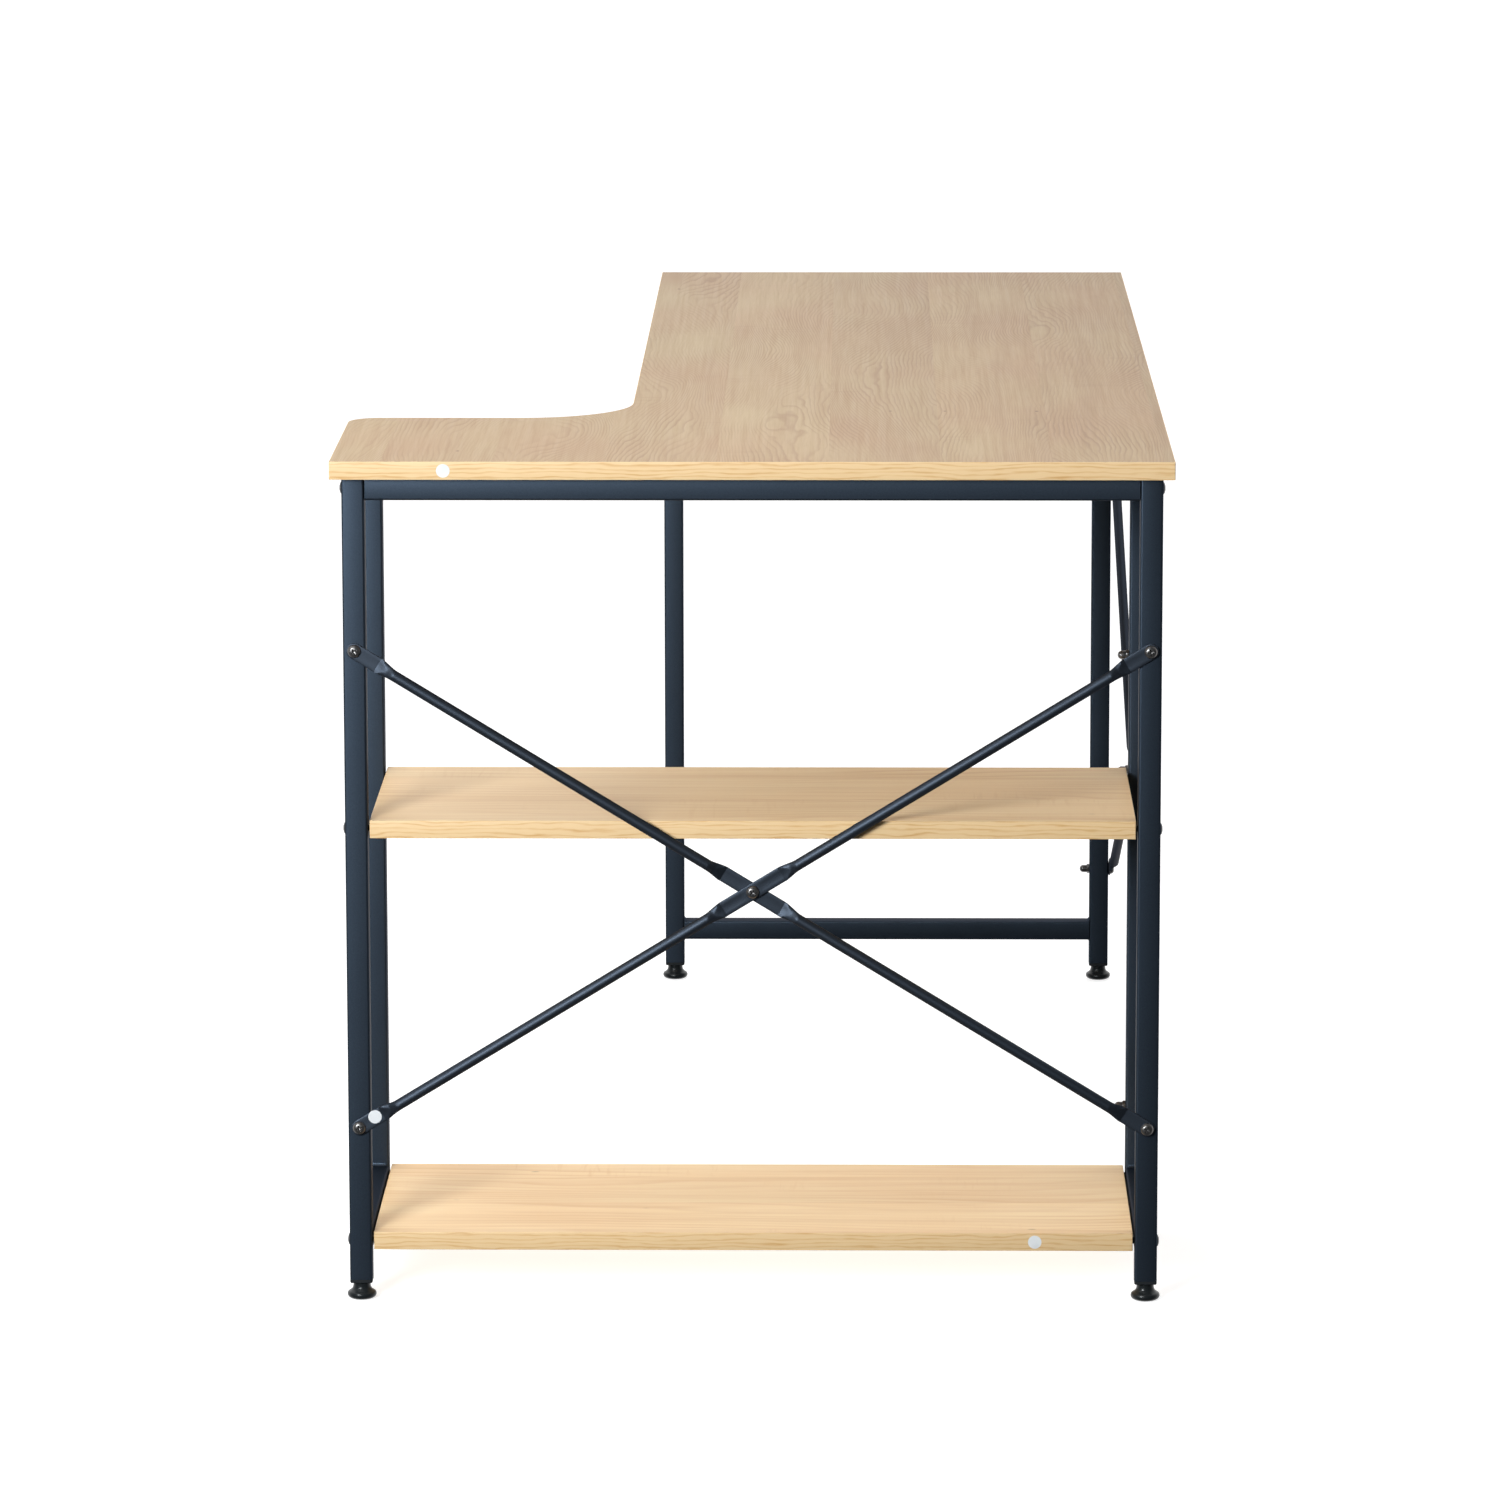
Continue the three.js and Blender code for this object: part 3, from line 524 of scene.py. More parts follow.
def painted_steel(name, light, deep, roughness, grain_size, bump_depth):
    """Baked paint on steel: the colour drifts a little between two tones, and a fine orange-peel noise
    drives its bump and roughness."""
    material = bpy.data.materials.new(name)
    material.use_nodes = True
    tree = material.node_tree
    shader = tree.nodes["Principled BSDF"]
    place = add_node(tree, "ShaderNodeTexCoord").outputs["Object"]
    drift_inputs = {"Vector": place, "Scale": 9.0, "Detail": 3.0}
    drift = add_node(tree, "ShaderNodeTexNoise", drift_inputs).outputs["Fac"]
    peel_inputs = {"Vector": place, "Scale": 1 / grain_size, "Detail": 3.0, "Roughness": 0.65}
    peel = add_node(tree, "ShaderNodeTexNoise", peel_inputs).outputs["Fac"]
    colour = add_node(tree, "ShaderNodeMix", {"Factor": drift}, data_type="RGBA")
    colour.inputs[6].default_value = light
    colour.inputs[7].default_value = deep
    speck_inputs = {"Factor": peel}
    speck = add_node(tree, "ShaderNodeMix", speck_inputs, data_type="RGBA", blend_type="MULTIPLY")
    tree.links.new(colour.outputs[2], speck.inputs[6])
    speck.inputs[7].default_value = (0.6, 0.6, 0.62, 1)
    tree.links.new(speck.outputs[2], shader.inputs["Base Color"])
    gloss_inputs = {0: peel, 1: 0.16, 2: roughness - 0.08}
    gloss = add_node(tree, "ShaderNodeMath", gloss_inputs, operation="MULTIPLY_ADD")
    tree.links.new(gloss.outputs[0], shader.inputs["Roughness"])
    shader.inputs["Metallic"].default_value = PAINT_METALLIC
    shader.inputs["Specular Tint"].default_value = PAINT_EDGE_TINT
    bump = {"Height": peel, "Strength": 0.35, "Distance": bump_depth}
    tree.links.new(add_node(tree, "ShaderNodeBump", bump).outputs["Normal"], shader.inputs["Normal"])
    return material


frame_paint = painted_steel(
    "frame_powder_coat", FRAME_BLUE_GREY, FRAME_BLUE_GREY_DEEP, 0.43, 0.9 * MM, 0.1 * MM
)
LEG_PLACES = ["front_left", "front_right", "rear_left", "rear_right", "far_left", "far_right"]
CROSSBARS = [f"crossbar_{side}_{level}" for side in ("left", "right", "far") for level in ("top", "bottom")]
RAILS = ["rail_front", "rail_rear", "rail_long_left", "rail_long_right"]
for node in ["leg_" + place for place in LEG_PLACES] + CROSSBARS + RAILS:
    tube = square_tube(node + "_tube", node, RAIL_END_GAP if node in RAILS else 0)
    tube.data.materials.append(frame_paint)
    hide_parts(node)
    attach(tube, "desk")

# ---- Weld beads ----
# Each crossbar is welded to its legs above and below, before painting. A bead is a hollow fillet in the
# corner between the two tubes, with the ripples that a hand weld leaves.

BEAD_SIZE = 3.6 * MM
BEAD_HALF_LENGTH = 8 * MM
BEAD_RIPPLE = 1.7 * MM
BEAD_SUNK = 0.15 * MM


def weld_bead(name, corner, along_bar, up, seed):
    """A fillet along the corner of two tubes. Its section is bounded by the two faces and a hollow
    quarter circle; the size of the section ripples along the bead and fades at both ends."""
    across = np.cross(along_bar, up)
    run = np.linspace(-1, 1, 41)
    size = BEAD_SIZE * (1 - run**8 * 0.6)
    size = size * (1 + 0.07 * np.sin(2 * np.pi * run * BEAD_HALF_LENGTH / BEAD_RIPPLE + seed))
    turn = np.linspace(0, np.pi / 2, 9)
    hollow = np.stack([1 - np.sin(turn), 1 - np.cos(turn)], 1)
    section = np.concatenate([hollow, [[0, -0.05], [-0.05, -0.05], [-0.05, 0]]])
    section = size[:, None, None] * section
    rings = corner + section[..., :1] * along_bar + section[..., 1:] * up
    rings = rings + (run * BEAD_HALF_LENGTH)[:, None, None] * across
    return ring_piece(name, rings - BEAD_SUNK * (np.add(along_bar, up)))


for index, node in enumerate(CROSSBARS):
    low, high = (np.array(corner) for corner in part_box(node))
    axis = int(np.argmax(high - low))
    centre = (low + high) / 2
    for end, inward in (("start", 1), ("end", -1)):
        along_bar = np.zeros(3)
        along_bar[axis] = inward
        for face in (("below",) if node.endswith("top") else ("above", "below")):
            up = np.array([0, 0, 1.0 if face == "above" else -1.0])
            corner = centre.copy()
            corner[axis] = low[axis] if inward > 0 else high[axis]
            corner[2] += up[2] * TUBE_HALF
            bead = weld_bead(f"weld_{node}_{end}_{face}", corner, along_bar, up, index + inward)
            bead.data.materials.append(frame_paint)
            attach(bead, "desk")

# ---- X-braces ----
# Two pairs of thin round steel tubes, pressed flat at their ends and where they cross, then painted. The
# press leaves a flat facet that climbs to the round tube and a shallow crease along the flats.

BRACE_RADIUS = 4.9 * MM
FLAT_HALF_WIDTH = 7 * MM
FLAT_THICKNESS = 2.2 * MM
FLAT_CREASE = 0.45 * MM
END_FLAT = 24 * MM
CENTRE_FLAT = 30 * MM
PRESS_RUN = 17 * MM
FACET_RUN = 9 * MM
FACET_SLOPE = 0.36
FACET_SHOULDER = 1.0 * MM
BRACE_TIP = 7 * MM
CENTRE_LIFT = 2.4 * MM
BRACE_PAINT = (0.064, 0.079, 0.102, 1)
BRACE_PAINT_DEEP = (0.051, 0.063, 0.082, 1)


def smooth_step(value):
    """0 below 0, 1 above 1, and a cubic between that starts and ends level."""
    value = np.clip(value, 0, 1)
    return value * value * (3 - 2 * value)


def pressed_tube(name, start, end, out, lift):
    """A tube along the line between two screw holes, with its back on their plane. s runs from 0 on a
    flat to 1 on the round tube. The section is a superellipse whose half width, height and squareness
    change with s; near the flat it is cut off level by a facet that climbs at a constant slope."""
    ahead = (end - start) / np.linalg.norm(end - start)
    side = np.cross(out, ahead)
    half_span = np.linalg.norm(end - start) / 2
    press_steps = np.linspace(0, PRESS_RUN, 31)
    tip_steps = half_span + BRACE_TIP * np.sin(np.linspace(0, np.pi / 2, 15)) * 0.9995
    end_press = half_span - END_FLAT - press_steps[::-1]
    centre = np.linspace(0, CENTRE_FLAT, 13)
    seam = 0.02 * MM
    half = np.concatenate(
        [centre[:-1], [CENTRE_FLAT - seam], CENTRE_FLAT + press_steps, end_press]
        + [[half_span - END_FLAT + seam], tip_steps]
    )
    x = np.concatenate([-half[::-1], half[1:]])
    reach = np.abs(x)
    from_centre = (reach - CENTRE_FLAT) / PRESS_RUN
    from_end = (half_span - END_FLAT - reach) / PRESS_RUN
    s = np.clip(np.minimum(from_centre, from_end), 0, 1)
    flat = s <= 0
    ease = np.clip((s * PRESS_RUN - FACET_RUN) / (PRESS_RUN - FACET_RUN), 0, 1)
    climb = FACET_SLOPE * np.minimum(s * PRESS_RUN, FACET_RUN)
    rest = 2 * BRACE_RADIUS - FLAT_THICKNESS - FACET_SLOPE * FACET_RUN
    lead = FACET_SLOPE * (PRESS_RUN - FACET_RUN)
    top = FLAT_THICKNESS + climb + rest * smooth_step(ease) + lead * ease * (1 - ease) ** 2
    facet = np.clip(1 - s * PRESS_RUN / FACET_RUN, 0, 1)
    full_height = top + np.where(flat, 0, FACET_SHOULDER * facet)
    half_height = full_height / 2
    half_width = FLAT_HALF_WIDTH + (BRACE_RADIUS - FLAT_HALF_WIDTH) * smooth_step(s)
    past_hole = np.clip(reach - half_span, 0, BRACE_TIP)
    half_width = np.where(reach > half_span, np.sqrt(BRACE_TIP**2 - past_hole**2), half_width)
    power = 2 / (2 + 4 * (1 - smooth_step(s * 3.2)))
    angle = np.linspace(0, 2 * np.pi, 56, endpoint=False)
    cosine, sine = np.cos(angle), np.sin(angle)
    y = np.sign(cosine) * np.abs(cosine) ** power[:, None] * half_width[:, None]
    z = half_height[:, None] * (1 + np.sign(sine) * np.abs(sine) ** power[:, None])
    z = np.minimum(z, top[:, None])
    middle = np.clip(1 - (y / (0.62 * FLAT_HALF_WIDTH)) ** 2, 0, 1) ** 2
    crease = FLAT_CREASE * middle * smooth_step(1 - 2.2 * s)[:, None]
    near_hole = np.minimum(np.abs(x), np.abs(reach - half_span))
    crease = crease * smooth_step((near_hole[:, None] - 5 * MM) / (6 * MM))
    z = z - np.where(z > half_height[:, None], crease, 0)
    raised = lift * smooth_step(1 - from_centre) if lift else np.zeros_like(x)
    z = z + raised[:, None]
    rings = (start + end) / 2 + x[:, None, None] * ahead + y[..., None] * side + z[..., None] * out
    return ring_piece(name, rings, sharp=24)


def box_ends(node, out):
    """The middles of a CAD node's box faces on its outer side and on its inner side along out."""
    low, high = (np.array(corner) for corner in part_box(node))
    half = out * np.abs((high - low) @ out) / 2
    return (low + high) / 2 + half, (low + high) / 2 - half


brace_paint = painted_steel(
    "brace_satin_paint", BRACE_PAINT, BRACE_PAINT_DEEP, 0.52, 0.6 * MM, 0.04 * MM
)
OUTWARDS = {"front": np.array([0.0, -1.0, 0.0]), "side": np.array([1.0, 0.0, 0.0])}
for brace, out in OUTWARDS.items():
    back = box_ends(f"brace_{brace}_rising", out)[1]
    runs = {"rising": ("lower_start", "upper_end", CENTRE_LIFT), "falling": ("upper_start", "lower_end", 0)}
    for run, (start, end, lift) in runs.items():
        holes = []
        for corner in (start, end):
            hole = box_ends(f"screw_{brace}_{corner}", out)[0]
            holes.append(hole + out * ((back - hole) @ out))
        rod = pressed_tube(f"brace_{brace}_{run}_tube", *holes, out, lift)
        rod.data.materials.append(brace_paint)
        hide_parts(f"brace_{brace}_{run}")
        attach(rod, "desk")

# ---- Brace screws ----
# Pan-head machine screws with a cross recess, steel with a dark bronze finish. They run through the
# brace ends and the legs, and one holds the two tubes together at each crossing.

SCREW_RADIUS = 2.45 * MM
PAN_RADIUS = 5.8 * MM
PAN_HEIGHT = 3.8 * MM
CROSS_HALF_WIDTH = 0.62 * MM
CROSS_REACH = 2.9 * MM
CROSS_DEPTH = 2.3 * MM
BRONZE_BLACK = (0.110, 0.112, 0.122, 1)
BRONZE_BROWN = (0.175, 0.162, 0.148, 1)
SCREW_CORNERS = ["lower_start", "lower_end", "upper_start", "upper_end", "centre"]
SCREW_TURNS = [0.35, 1.1, 0.62, 0.2, 0.9, 0.5, 1.3, 0.1, 0.75, 0.4]


def turned_grid(profile, segments=64):
    """Radius, angle and height of every point of a turned shape, one row per profile point."""
    profile = np.asarray(profile, float)
    angle = np.linspace(0, 2 * np.pi, segments, endpoint=False)
    return np.broadcast_arrays(profile[:, :1], angle[None, :], profile[:, 1:])


def stood_on(radius, angle, height, base, out):
    """Points of a turned grid with its axis along out, from base."""
    side = np.cross(out, (0, 0, 1)) if abs(out[2]) < 0.5 else np.array([1.0, 0, 0])
    up = np.cross(out, side)
    round_part = (radius * np.cos(angle))[..., None] * side + (radius * np.sin(angle))[..., None] * up
    return np.asarray(base) + round_part + height[..., None] * out


def cross_columns(radius, half_width):
    """Angles round a circle whose columns follow the sides of a cross: within each quarter an arm takes
    asin(half_width / radius) on each side of its axis, and the rest is shared out evenly."""
    side = np.arcsin(np.clip(half_width / radius, 0, 0.66))
    wall = np.minimum(0.06 * MM / radius, 0.04)
    arm = np.array([0, 0.5, 1.0])
    between = np.linspace(0, 1, 9)
    rest = (side + wall)[:, None] + (np.pi / 2 - 2 * (side + wall))[:, None] * between
    quarter = np.concatenate([side[:, None] * arm, rest, np.pi / 2 - side[:, None] * arm[:0:-1]], 1)
    is_arm = np.array([True] * 3 + [False] * 9 + [True] * 2)
    angle = np.concatenate([quarter + turn * np.pi / 2 for turn in range(4)], 1)
    return angle, np.tile(is_arm, 4)


def pan_head_screw(name, tip, seat, out, radius, height, shank, turn):
    """A turned screw: the head is a low dome with a rounded rim, height x (1 - (r/radius)^3.4)^0.5. The
    columns between the sides of the cross drop into its recess, which deepens towards the middle."""
    length = (seat - tip) @ out
    size = radius / PAN_RADIUS
    reach = CROSS_REACH * size / radius
    outer = np.concatenate([np.sin(np.linspace(np.pi / 2, 0.9, 9)), np.linspace(0.74, reach + 0.02, 6)])
    share = np.concatenate([outer, [reach], np.linspace(reach - 0.03, 0.02, 12)])
    dome = [(radius * r, length + height * (1 - r**3.4) ** 0.5) for r in share]
    start = [(0.02 * radius, 0), (shank * 0.8, 0), (shank, 0.5 * MM), (shank, length - 0.2 * MM)]
    start += [(shank, length), (0.97 * radius, length), (radius, length + 0.05 * height)]
    angle, is_arm = cross_columns(np.array([r for r, _ in start + dome]), CROSS_HALF_WIDTH * size)
    r, _, z = turned_grid(start + dome, angle.shape[1])
    in_reach = np.arange(len(z))[:, None] > len(start) + len(outer)
    near_axis = r < 1.5 * CROSS_HALF_WIDTH * size
    depth = CROSS_DEPTH * size * (1 - 0.3 * r / (reach * radius))
    z = z - np.where(in_reach & (is_arm | near_axis), depth, 0)
    return ring_piece(name, stood_on(r, angle + turn, z, tip, out), sharp=38)


def blued_steel(name, dark, brown, roughness):
    """Dark chemically finished steel: the tone drifts from black to brown in small soft patches, and
    fine scratches vary the roughness."""
    material = bpy.data.materials.new(name)
    material.use_nodes = True
    tree = material.node_tree
    shader = tree.nodes["Principled BSDF"]
    place = add_node(tree, "ShaderNodeTexCoord").outputs["Object"]
    patch = add_node(tree, "ShaderNodeTexNoise", {"Vector": place, "Scale": 260.0, "Detail": 3.0})
    scratch = add_node(tree, "ShaderNodeTexNoise", {"Vector": place, "Scale": 2600.0, "Detail": 2.0})
    colour = add_node(tree, "ShaderNodeMix", {"Factor": patch.outputs["Fac"]}, data_type="RGBA")
    colour.inputs[6].default_value = dark
    colour.inputs[7].default_value = brown
    tree.links.new(colour.outputs[2], shader.inputs["Base Color"])
    gloss_inputs = {0: scratch.outputs["Fac"], 1: 0.2, 2: roughness - 0.1}
    gloss = add_node(tree, "ShaderNodeMath", gloss_inputs, operation="MULTIPLY_ADD")
    tree.links.new(gloss.outputs[0], shader.inputs["Roughness"])
    shader.inputs["Metallic"].default_value = 0.85
    bump = {"Height": scratch.outputs["Fac"], "Strength": 0.15, "Distance": 0.02 * MM}
    tree.links.new(add_node(tree, "ShaderNodeBump", bump).outputs["Normal"], shader.inputs["Normal"])
    return material


bronze_finish = blued_steel("bronze_black_steel", BRONZE_BLACK, BRONZE_BROWN, 0.34)
turns = iter(SCREW_TURNS)
for brace, out in OUTWARDS.items():
    for corner in SCREW_CORNERS:
        node = f"screw_{brace}_{corner}"
        head_top, tip = box_ends(node, out)
        seat = head_top - out * PAN_HEIGHT
        screw = pan_head_screw(
            f"{node}_pan_head", tip, seat, out, PAN_RADIUS, PAN_HEIGHT, SCREW_RADIUS, next(turns)
        )
        screw.data.materials.append(bronze_finish)
        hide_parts(node)
        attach(screw, "desk")

# ---- Cap nuts ----
# Domed nuts on the far ends of the brace screws: a hexagon against the leg and a closed dome over the
# thread. The same nuts hold the front brace, behind its legs, and both crossings.

HEX_HALF = 4.35 * MM
HEX_HEIGHT = 2.9 * MM
DOME_RADIUS = 3.9 * MM
NUT_HEIGHT = 10.4 * MM


def cap_nut(name, seat, out):
    """A turned dome on a hexagon. The hexagon's radius at an angle is its half width over the cosine of
    the angle from the nearest flat's middle, held to the chamfer circle at its upper edge."""
    turn = np.linspace(0, np.pi / 2, 12)
    dome = np.stack([DOME_RADIUS * np.cos(turn), NUT_HEIGHT - DOME_RADIUS * (1 - np.sin(turn))], 1)
    corner = HEX_HALF / math.cos(math.pi / 6)
    hexagon = [(0.1 * MM, 0), (HEX_HALF * 0.9, 0), (corner, 0.3 * MM), (corner, HEX_HEIGHT - 0.7 * MM)]
    hexagon += [(HEX_HALF * 1.01, HEX_HEIGHT), (DOME_RADIUS * 0.97, HEX_HEIGHT + 0.15 * MM)]
    profile = np.concatenate([hexagon, [(DOME_RADIUS, HEX_HEIGHT + 0.6 * MM)], dome[:-1]])
    profile = np.concatenate([profile, [(0.1 * MM, NUT_HEIGHT)]])
    radius, angle, height = turned_grid(profile, 72)
    from_flat = (angle + np.pi / 6) % (np.pi / 3) - np.pi / 6
    radius = np.minimum(radius, np.where(height <= HEX_HEIGHT, HEX_HALF / np.cos(from_flat), radius))
    return ring_piece(name, stood_on(radius, angle, height, seat, out), sharp=28)


CAD_NUTS = [f"cap_nut_side_{corner}" for corner in SCREW_CORNERS[:4]]
nut_places = {node: box_ends(node, OUTWARDS["side"])[0] for node in CAD_NUTS}
for corner in SCREW_CORNERS[:4]:
    tip = box_ends(f"screw_front_{corner}", OUTWARDS["front"])[1]
    leg_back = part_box("leg_front_left")[1].y
    nut_places[f"cap_nut_front_{corner}"] = np.array([tip[0], leg_back, tip[2]])
for brace, out in OUTWARDS.items():
    centre = box_ends(f"screw_{brace}_centre", out)[0]
    back = box_ends(f"brace_{brace}_falling", out)[1]
    nut_places[f"cap_nut_{brace}_centre"] = centre + out * ((back - centre) @ out)
for name, seat in nut_places.items():
    out = OUTWARDS["front" if "_front_" in name else "side"]
    nut = cap_nut(name + "_domed", seat, -out)
    nut.data.materials.append(bronze_finish)
    if name in CAD_NUTS:
        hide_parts(name)
    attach(nut, "desk")

# ---- Frame bolts ----
# Low domed steel bolts with a hexagon socket. Ten run through the tower's legs into the front rail and
# the shelves; six more hold the rear rail and the two long rails.

BOLT_RADIUS = 2.95 * MM
BOLT_HEAD_HEIGHT = 2 * MM
SOCKET_HALF = 1.9 * MM
SOCKET_DEPTH = 1.2 * MM
HIDDEN_BOLT_LENGTH = 38 * MM
HIDDEN_BOLT_HEAD_RADIUS = 5.3 * MM
BOLT_BLACK = (0.045, 0.046, 0.050, 1)
BOLT_GREY = (0.085, 0.085, 0.09, 1)
BOLT_PLACES = ["rail_front", "middle_front", "middle_rear", "lower_front", "lower_rear"]


def domed_bolt(name, tip, seat, out, radius):
    """A turned bolt: the head's height falls as 1 - (r/radius)^2.4 to a thin rim, and its middle drops
    into a hexagon socket."""
    length = (seat - tip) @ out
    share = np.array([1.0, 0.985, 0.95, 0.9, 0.82, 0.72, 0.6, 0.5])
    rise = BOLT_HEAD_HEIGHT * (0.28 + 0.72 * (1 - share**2.4) ** 0.8)
    head = np.stack([radius * share, length + rise], 1)
    top = length + BOLT_HEAD_HEIGHT
    shaft = [(0.1 * MM, 0), (BOLT_RADIUS * 0.8, 0), (BOLT_RADIUS, 0.6 * MM), (BOLT_RADIUS, length)]
    shaft += [(0.98 * radius, length), (radius, length + 0.1 * BOLT_HEAD_HEIGHT)]
    socket = [(SOCKET_HALF * 1.2, top - 0.05 * MM), (SOCKET_HALF * 1.1, top - 0.12 * MM)]
    socket += [(SOCKET_HALF * 1.1, top - SOCKET_DEPTH), (0.1 * MM, top - SOCKET_DEPTH - 0.2 * MM)]
    r, angle, z = turned_grid(np.concatenate([shaft, head, socket]), 60)
    from_flat = (angle + np.pi / 6) % (np.pi / 3) - np.pi / 6
    in_socket = np.arange(len(r))[:, None] >= len(shaft) + len(head) + 1
    r = np.where(in_socket, np.minimum(r, SOCKET_HALF / np.cos(from_flat)), r)
    return ring_piece(name, stood_on(r, angle, z, tip, out), sharp=34)


bolt_finish = blued_steel("bolt_black_steel", BOLT_BLACK, BOLT_GREY, 0.4)
bolts = {}
for side, sign in (("left", -1.0), ("right", 1.0)):
    out = np.array([sign, 0, 0])
    for place in BOLT_PLACES:
        node = f"bolt_{place}_{side}"
        head_top, tip = box_ends(node, out)
        low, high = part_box(node)
        bolts[node] = (tip, head_top - out * BOLT_HEAD_HEIGHT, out, (high.z - low.z) / 2)
rail_height = (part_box("rail_front")[0].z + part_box("rail_front")[1].z) / 2
rear_y = (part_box("leg_rear_left")[0].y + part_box("leg_rear_left")[1].y) / 2
right_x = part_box("leg_rear_right")[0].x + TUBE_HALF
left_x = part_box("leg_far_left")[0].x + TUBE_HALF
hidden = {
    "bolt_rail_rear_left": ((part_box("leg_rear_left")[0].x, rear_y), (-1, 0)),
    "bolt_rail_rear_right": ((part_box("leg_rear_right")[1].x, rear_y), (1, 0)),
    "bolt_rail_long_right_near": ((right_x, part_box("leg_rear_right")[0].y), (0, -1)),
    "bolt_rail_long_right_far": ((right_x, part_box("leg_far_right")[1].y), (0, 1)),
    "bolt_rail_long_left_far": ((left_x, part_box("leg_far_left")[1].y), (0, 1)),
    "bolt_rail_long_left_near": ((left_x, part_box("rail_rear")[0].y), (0, -1)),
}
for name, (place, direction) in hidden.items():
    out = np.array([*direction, 0.0])
    seat = np.array([*place, rail_height])
    bolts[name] = (seat - out * HIDDEN_BOLT_LENGTH, seat, out, HIDDEN_BOLT_HEAD_RADIUS)
for name, (tip, seat, out, radius) in bolts.items():
    bolt = domed_bolt(name + "_domed", tip, seat, out, radius)
    bolt.data.materials.append(bolt_finish)
    if name not in hidden:
        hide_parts(name)
    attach(bolt, "desk")

# ---- Worktop screws ----
# Eight pan-head screws run up from below into the board: one through the rear rail, three through each
# long rail and one through the far top crossbar.

TOP_SCREW_RADIUS = 4 * MM
TOP_SCREW_HEIGHT = 2.4 * MM
TOP_SCREW_LENGTH = 30 * MM
TOP_SCREW_SHANK = 1.9 * MM
SCREWS_ALONG = {
    "rail_rear": (0.15,),
    "rail_long_left": (0.15, 0.5, 0.85),
    "rail_long_right": (0.15, 0.5, 0.85),
    "crossbar_far_top": (0.5,),
}
down = np.array([0, 0, -1.0])
for node, shares in SCREWS_ALONG.items():
    low, high = (np.array(corner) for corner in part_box(node))
    axis = int(np.argmax(high - low))
    for index, share in enumerate(shares):
        seat = (low + high) / 2
        seat[axis] = low[axis] + share * (high - low)[axis]
        seat[2] = low[2]
        tip = seat - down * TOP_SCREW_LENGTH
        name = f"worktop_screw_{node}_{index}"
        head = (TOP_SCREW_RADIUS, TOP_SCREW_HEIGHT)
        screw = pan_head_screw(name, tip, seat, down, *head, TOP_SCREW_SHANK, index)
        screw.data.materials.append(bronze_finish)
        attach(screw, "desk")

# ---- Leg inserts ----
# Moulded black plastic plugs, pushed into the bottom of each leg. A square flange closes the tube, and
# the bore through the plug takes the foot's thread.

FLANGE_HEIGHT = 3 * MM
PLUG_HALF = 8.7 * MM
INSERT_BORE = 4.2 * MM
INSERT_CHAMFER = 0.5 * MM
PLUG_CORNER_RADIUS = 1 * MM
PLUG_TIP_CORNER_RADIUS = 0.8 * MM
INSERT_BLACK = (0.010, 0.012, 0.014, 1)


def leg_insert(name, node):
    """Rings run from the bore's mouth over the flange, up the plug and back down the bore: rounded
    squares outside, and circles with the same number of points inside."""
    low, high = (np.array(corner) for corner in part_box(node))
    centre = (low + high) / 2
    flange = square_outline(TUBE_HALF, TUBE_CORNER_RADIUS)
    eased = square_outline(TUBE_HALF - INSERT_CHAMFER, TUBE_CORNER_RADIUS - INSERT_CHAMFER)
    plug = square_outline(PLUG_HALF, PLUG_CORNER_RADIUS)
    plug_tip = square_outline(PLUG_HALF - INSERT_CHAMFER, PLUG_TIP_CORNER_RADIUS)
    angle = np.arctan2(flange[:, 1], flange[:, 0])
    bore = INSERT_BORE * np.stack([np.cos(angle), np.sin(angle)], 1)
    step = low[2] + FLANGE_HEIGHT
    stations = [(bore, low[2]), (eased, low[2]), (flange, low[2] + INSERT_CHAMFER), (flange, step)]
    stations += [(plug, step), (plug, high[2] - INSERT_CHAMFER), (plug_tip, high[2]), (bore, high[2])]
    rings = [np.column_stack([centre[:2] + outline, np.full(len(outline), z)]) for outline, z in stations]
    return ring_piece(name, rings, joined=True)


def moulded_plastic(name, colour, roughness, grain_size, bump_depth):
    """Moulded plastic: one colour with a faint drift in tone, and a fine moulded texture in the bump and
    the roughness."""
    material = bpy.data.materials.new(name)
    material.use_nodes = True
    tree = material.node_tree
    shader = tree.nodes["Principled BSDF"]
    place = add_node(tree, "ShaderNodeTexCoord").outputs["Object"]
    grain_inputs = {"Vector": place, "Scale": 1 / grain_size, "Detail": 3.0}
    grain = add_node(tree, "ShaderNodeTexNoise", grain_inputs).outputs["Fac"]
    drift = add_node(tree, "ShaderNodeTexNoise", {"Vector": place, "Scale": 60.0}).outputs["Fac"]
    tone = add_node(tree, "ShaderNodeMix", {"Factor": drift}, data_type="RGBA")
    tone.inputs[6].default_value = colour
    tone.inputs[7].default_value = [1.5 * part for part in colour[:3]] + [1]
    tree.links.new(tone.outputs[2], shader.inputs["Base Color"])
    gloss_inputs = {0: grain, 1: 0.12, 2: roughness - 0.06}
    gloss = add_node(tree, "ShaderNodeMath", gloss_inputs, operation="MULTIPLY_ADD")
    tree.links.new(gloss.outputs[0], shader.inputs["Roughness"])
    shader.inputs["Specular IOR Level"].default_value = 0.25
    bump = {"Height": grain, "Strength": 0.25, "Distance": bump_depth}
    tree.links.new(add_node(tree, "ShaderNodeBump", bump).outputs["Normal"], shader.inputs["Normal"])
    return material


insert_plastic = moulded_plastic("insert_matt_plastic", INSERT_BLACK, 0.55, 0.5 * MM, 0.05 * MM)
for place in LEG_PLACES:
    insert = leg_insert(f"insert_{place}_plug", f"insert_{place}")
    insert.data.materials.append(insert_plastic)
    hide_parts(f"insert_{place}")
    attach(insert, "desk")

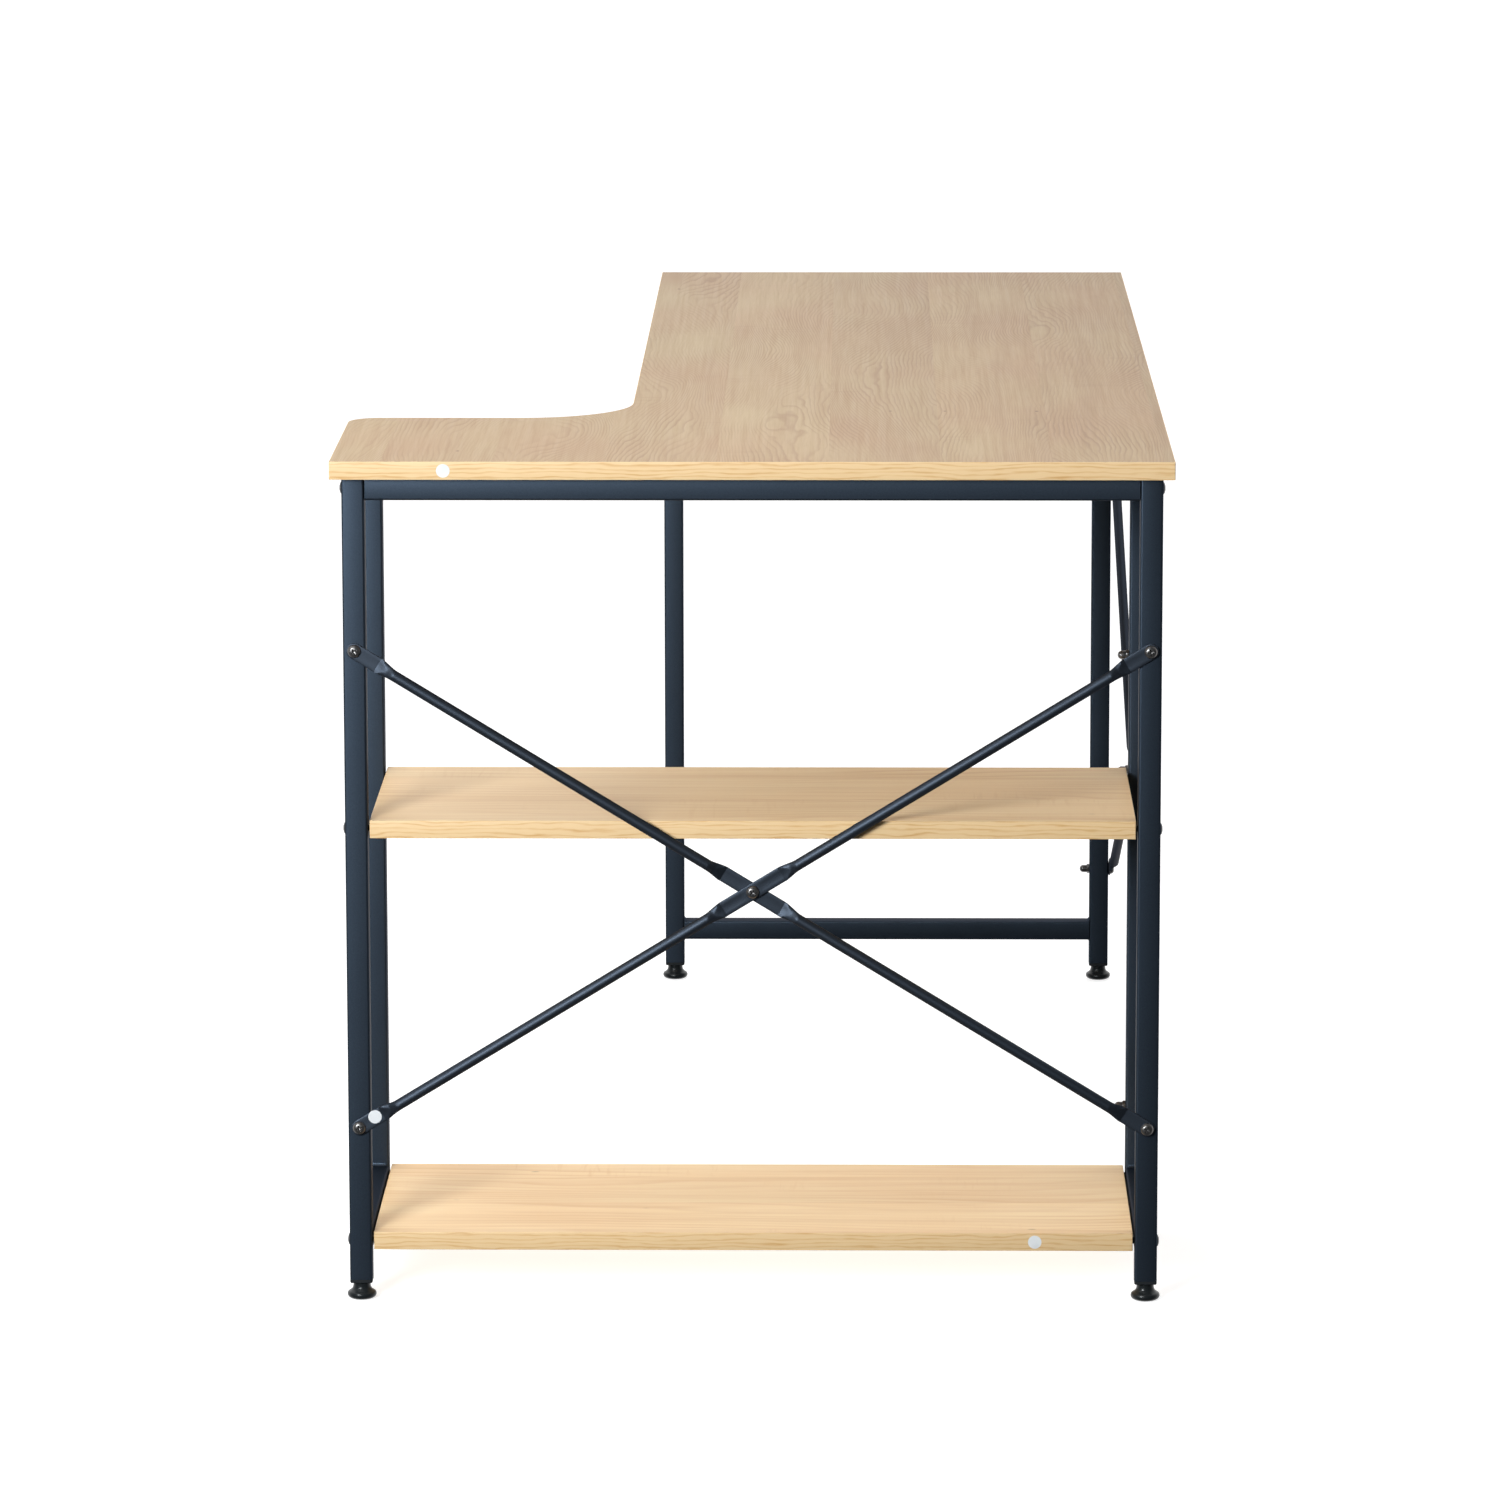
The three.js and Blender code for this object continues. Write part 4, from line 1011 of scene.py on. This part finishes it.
# ---- Levelling feet ----
# A glossy black plastic pad, moulded round the head of a steel stud. The stud screws into the insert, so
# each foot rides on its own CAD body.

PAD_POINTS = [(0.2, 0.0), (8.9, 0.0), (9.6, 0.1), (12.0, 1.3), (13.0, 3.0), (13.1, 4.4), (12.5, 6.2)]
PAD_POINTS += [(10.2, 7.5), (8.5, 9.2), (7.85, 11.2), (7.75, 13.0), (7.75, 15.0), (7.4, 15.5), (3.4, 15.5)]
PAD_POINTS += [(0.2, 15.5)]
STUD_RADIUS = 3.85 * MM
THREAD_DEPTH = 0.55 * MM
THREAD_PITCH = 1.25 * MM
STEPS_PER_TURN = 10
STUD_START_HEIGHT = 15.4 * MM
FOOT_BLACK = (0.010, 0.012, 0.013, 1)
ZINC = (0.33, 0.33, 0.34, 1)
ZINC_WORN = (0.45, 0.44, 0.42, 1)


def softened(points, rounds):
    """Corner cutting: each round replaces every side by its quarter and three-quarter points, and keeps
    the first and last points."""
    points = np.asarray(points, float)
    for _ in range(rounds):
        near = 0.75 * points[:-1] + 0.25 * points[1:]
        far = 0.25 * points[:-1] + 0.75 * points[1:]
        cut = np.stack([near, far], 1).reshape(-1, 2)
        points = np.concatenate([points[:1], cut, points[-1:]])
    return points


def foot_pad(name, base):
    """The pad's rounded profile, turned about the foot's axis."""
    profile = softened(PAD_POINTS, 2) * MM
    return ring_piece(name, stood_on(*turned_grid(profile), base, np.array([0, 0, 1.0])), sharp=40)


def threaded_stud(name, bottom, top):
    """A stud whose radius falls by the thread's depth times a triangle wave of the height in pitches
    less the angle in turns, which makes one helix. The thread fades out at both ends."""
    height = top[2] - bottom[2]
    rows = np.arange(0, height, THREAD_PITCH / STEPS_PER_TURN)
    radius, angle, z = turned_grid(np.stack([np.full(len(rows), STUD_RADIUS), rows], 1), 40)
    phase = (z / THREAD_PITCH - angle / (2 * np.pi)) % 1
    fade = smooth_step(z / (1.5 * THREAD_PITCH)) * smooth_step((height - z) / THREAD_PITCH)
    radius = radius - THREAD_DEPTH * fade * np.abs(2 * phase - 1)
    radius = radius - 0.8 * MM * smooth_step(1 - (height - z) / (0.8 * MM))
    return ring_piece(name, stood_on(radius, angle, z, bottom, np.array([0, 0, 1.0])), sharp=60)


foot_plastic = moulded_plastic("foot_gloss_plastic", FOOT_BLACK, 0.3, 1.4 * MM, 0.03 * MM)
stud_steel = blued_steel("stud_zinc_steel", ZINC, ZINC_WORN, 0.36)
for place in LEG_PLACES:
    node = f"foot_{place}"
    low, high = (np.array(corner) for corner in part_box(node))
    axis_point = (low + high) / 2
    pad = foot_pad(node + "_pad", np.array([axis_point[0], axis_point[1], low[2]]))
    pad.data.materials.append(foot_plastic)
    stud_start = np.array([axis_point[0], axis_point[1], low[2] + STUD_START_HEIGHT])
    stud = threaded_stud(node + "_stud", stud_start, np.array([axis_point[0], axis_point[1], high[2]]))
    stud.data.materials.append(stud_steel)
    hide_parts(node)
    for piece in (pad, stud):
        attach(piece, node)

# ---- Stickers ----
# Three small round white paper stickers, left blank: on the edges of the worktop and the lower shelf and
# on the front brace's lower left end.

STICKER_RADIUS = 6 * MM
STICKER_THICKNESS = 0.09 * MM
PAPER_WHITE = (0.6, 0.605, 0.61, 1)


def round_sticker(name, middle, out):
    """A thin turned disc with an eased edge."""
    edge = [(0.1 * MM, 0), (STICKER_RADIUS, 0), (STICKER_RADIUS, 0.6 * STICKER_THICKNESS)]
    face = [(STICKER_RADIUS - 0.05 * MM, STICKER_THICKNESS), (0.1 * MM, STICKER_THICKNESS)]
    return ring_piece(name, stood_on(*turned_grid(edge + face), middle, out), sharp=30)


paper = moulded_plastic("sticker_paper", PAPER_WHITE, 0.6, 0.2 * MM, 0.01 * MM)
front = OUTWARDS["front"]
brace_top = box_ends("screw_front_lower_start", front)[0] - front * (PAN_HEIGHT + 0.2 * MM)
STICKERS = {
    "sticker_worktop": (-0.270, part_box("worktop")[0].y + BAND_SET_IN, 0.750, "worktop_board"),
    "sticker_brace": (-0.336, brace_top[1], 0.1686, "brace_steel"),
    "sticker_lower_shelf": (0.251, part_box("lower_shelf")[0].y + BAND_SET_IN, 0.054, "shelf_board"),
}
for name, (x, y, z, slot) in STICKERS.items():
    sticker = round_sticker(name, np.array([x, y, z]), front)
    sticker.data.materials.append(paper)
    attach(sticker, "desk")
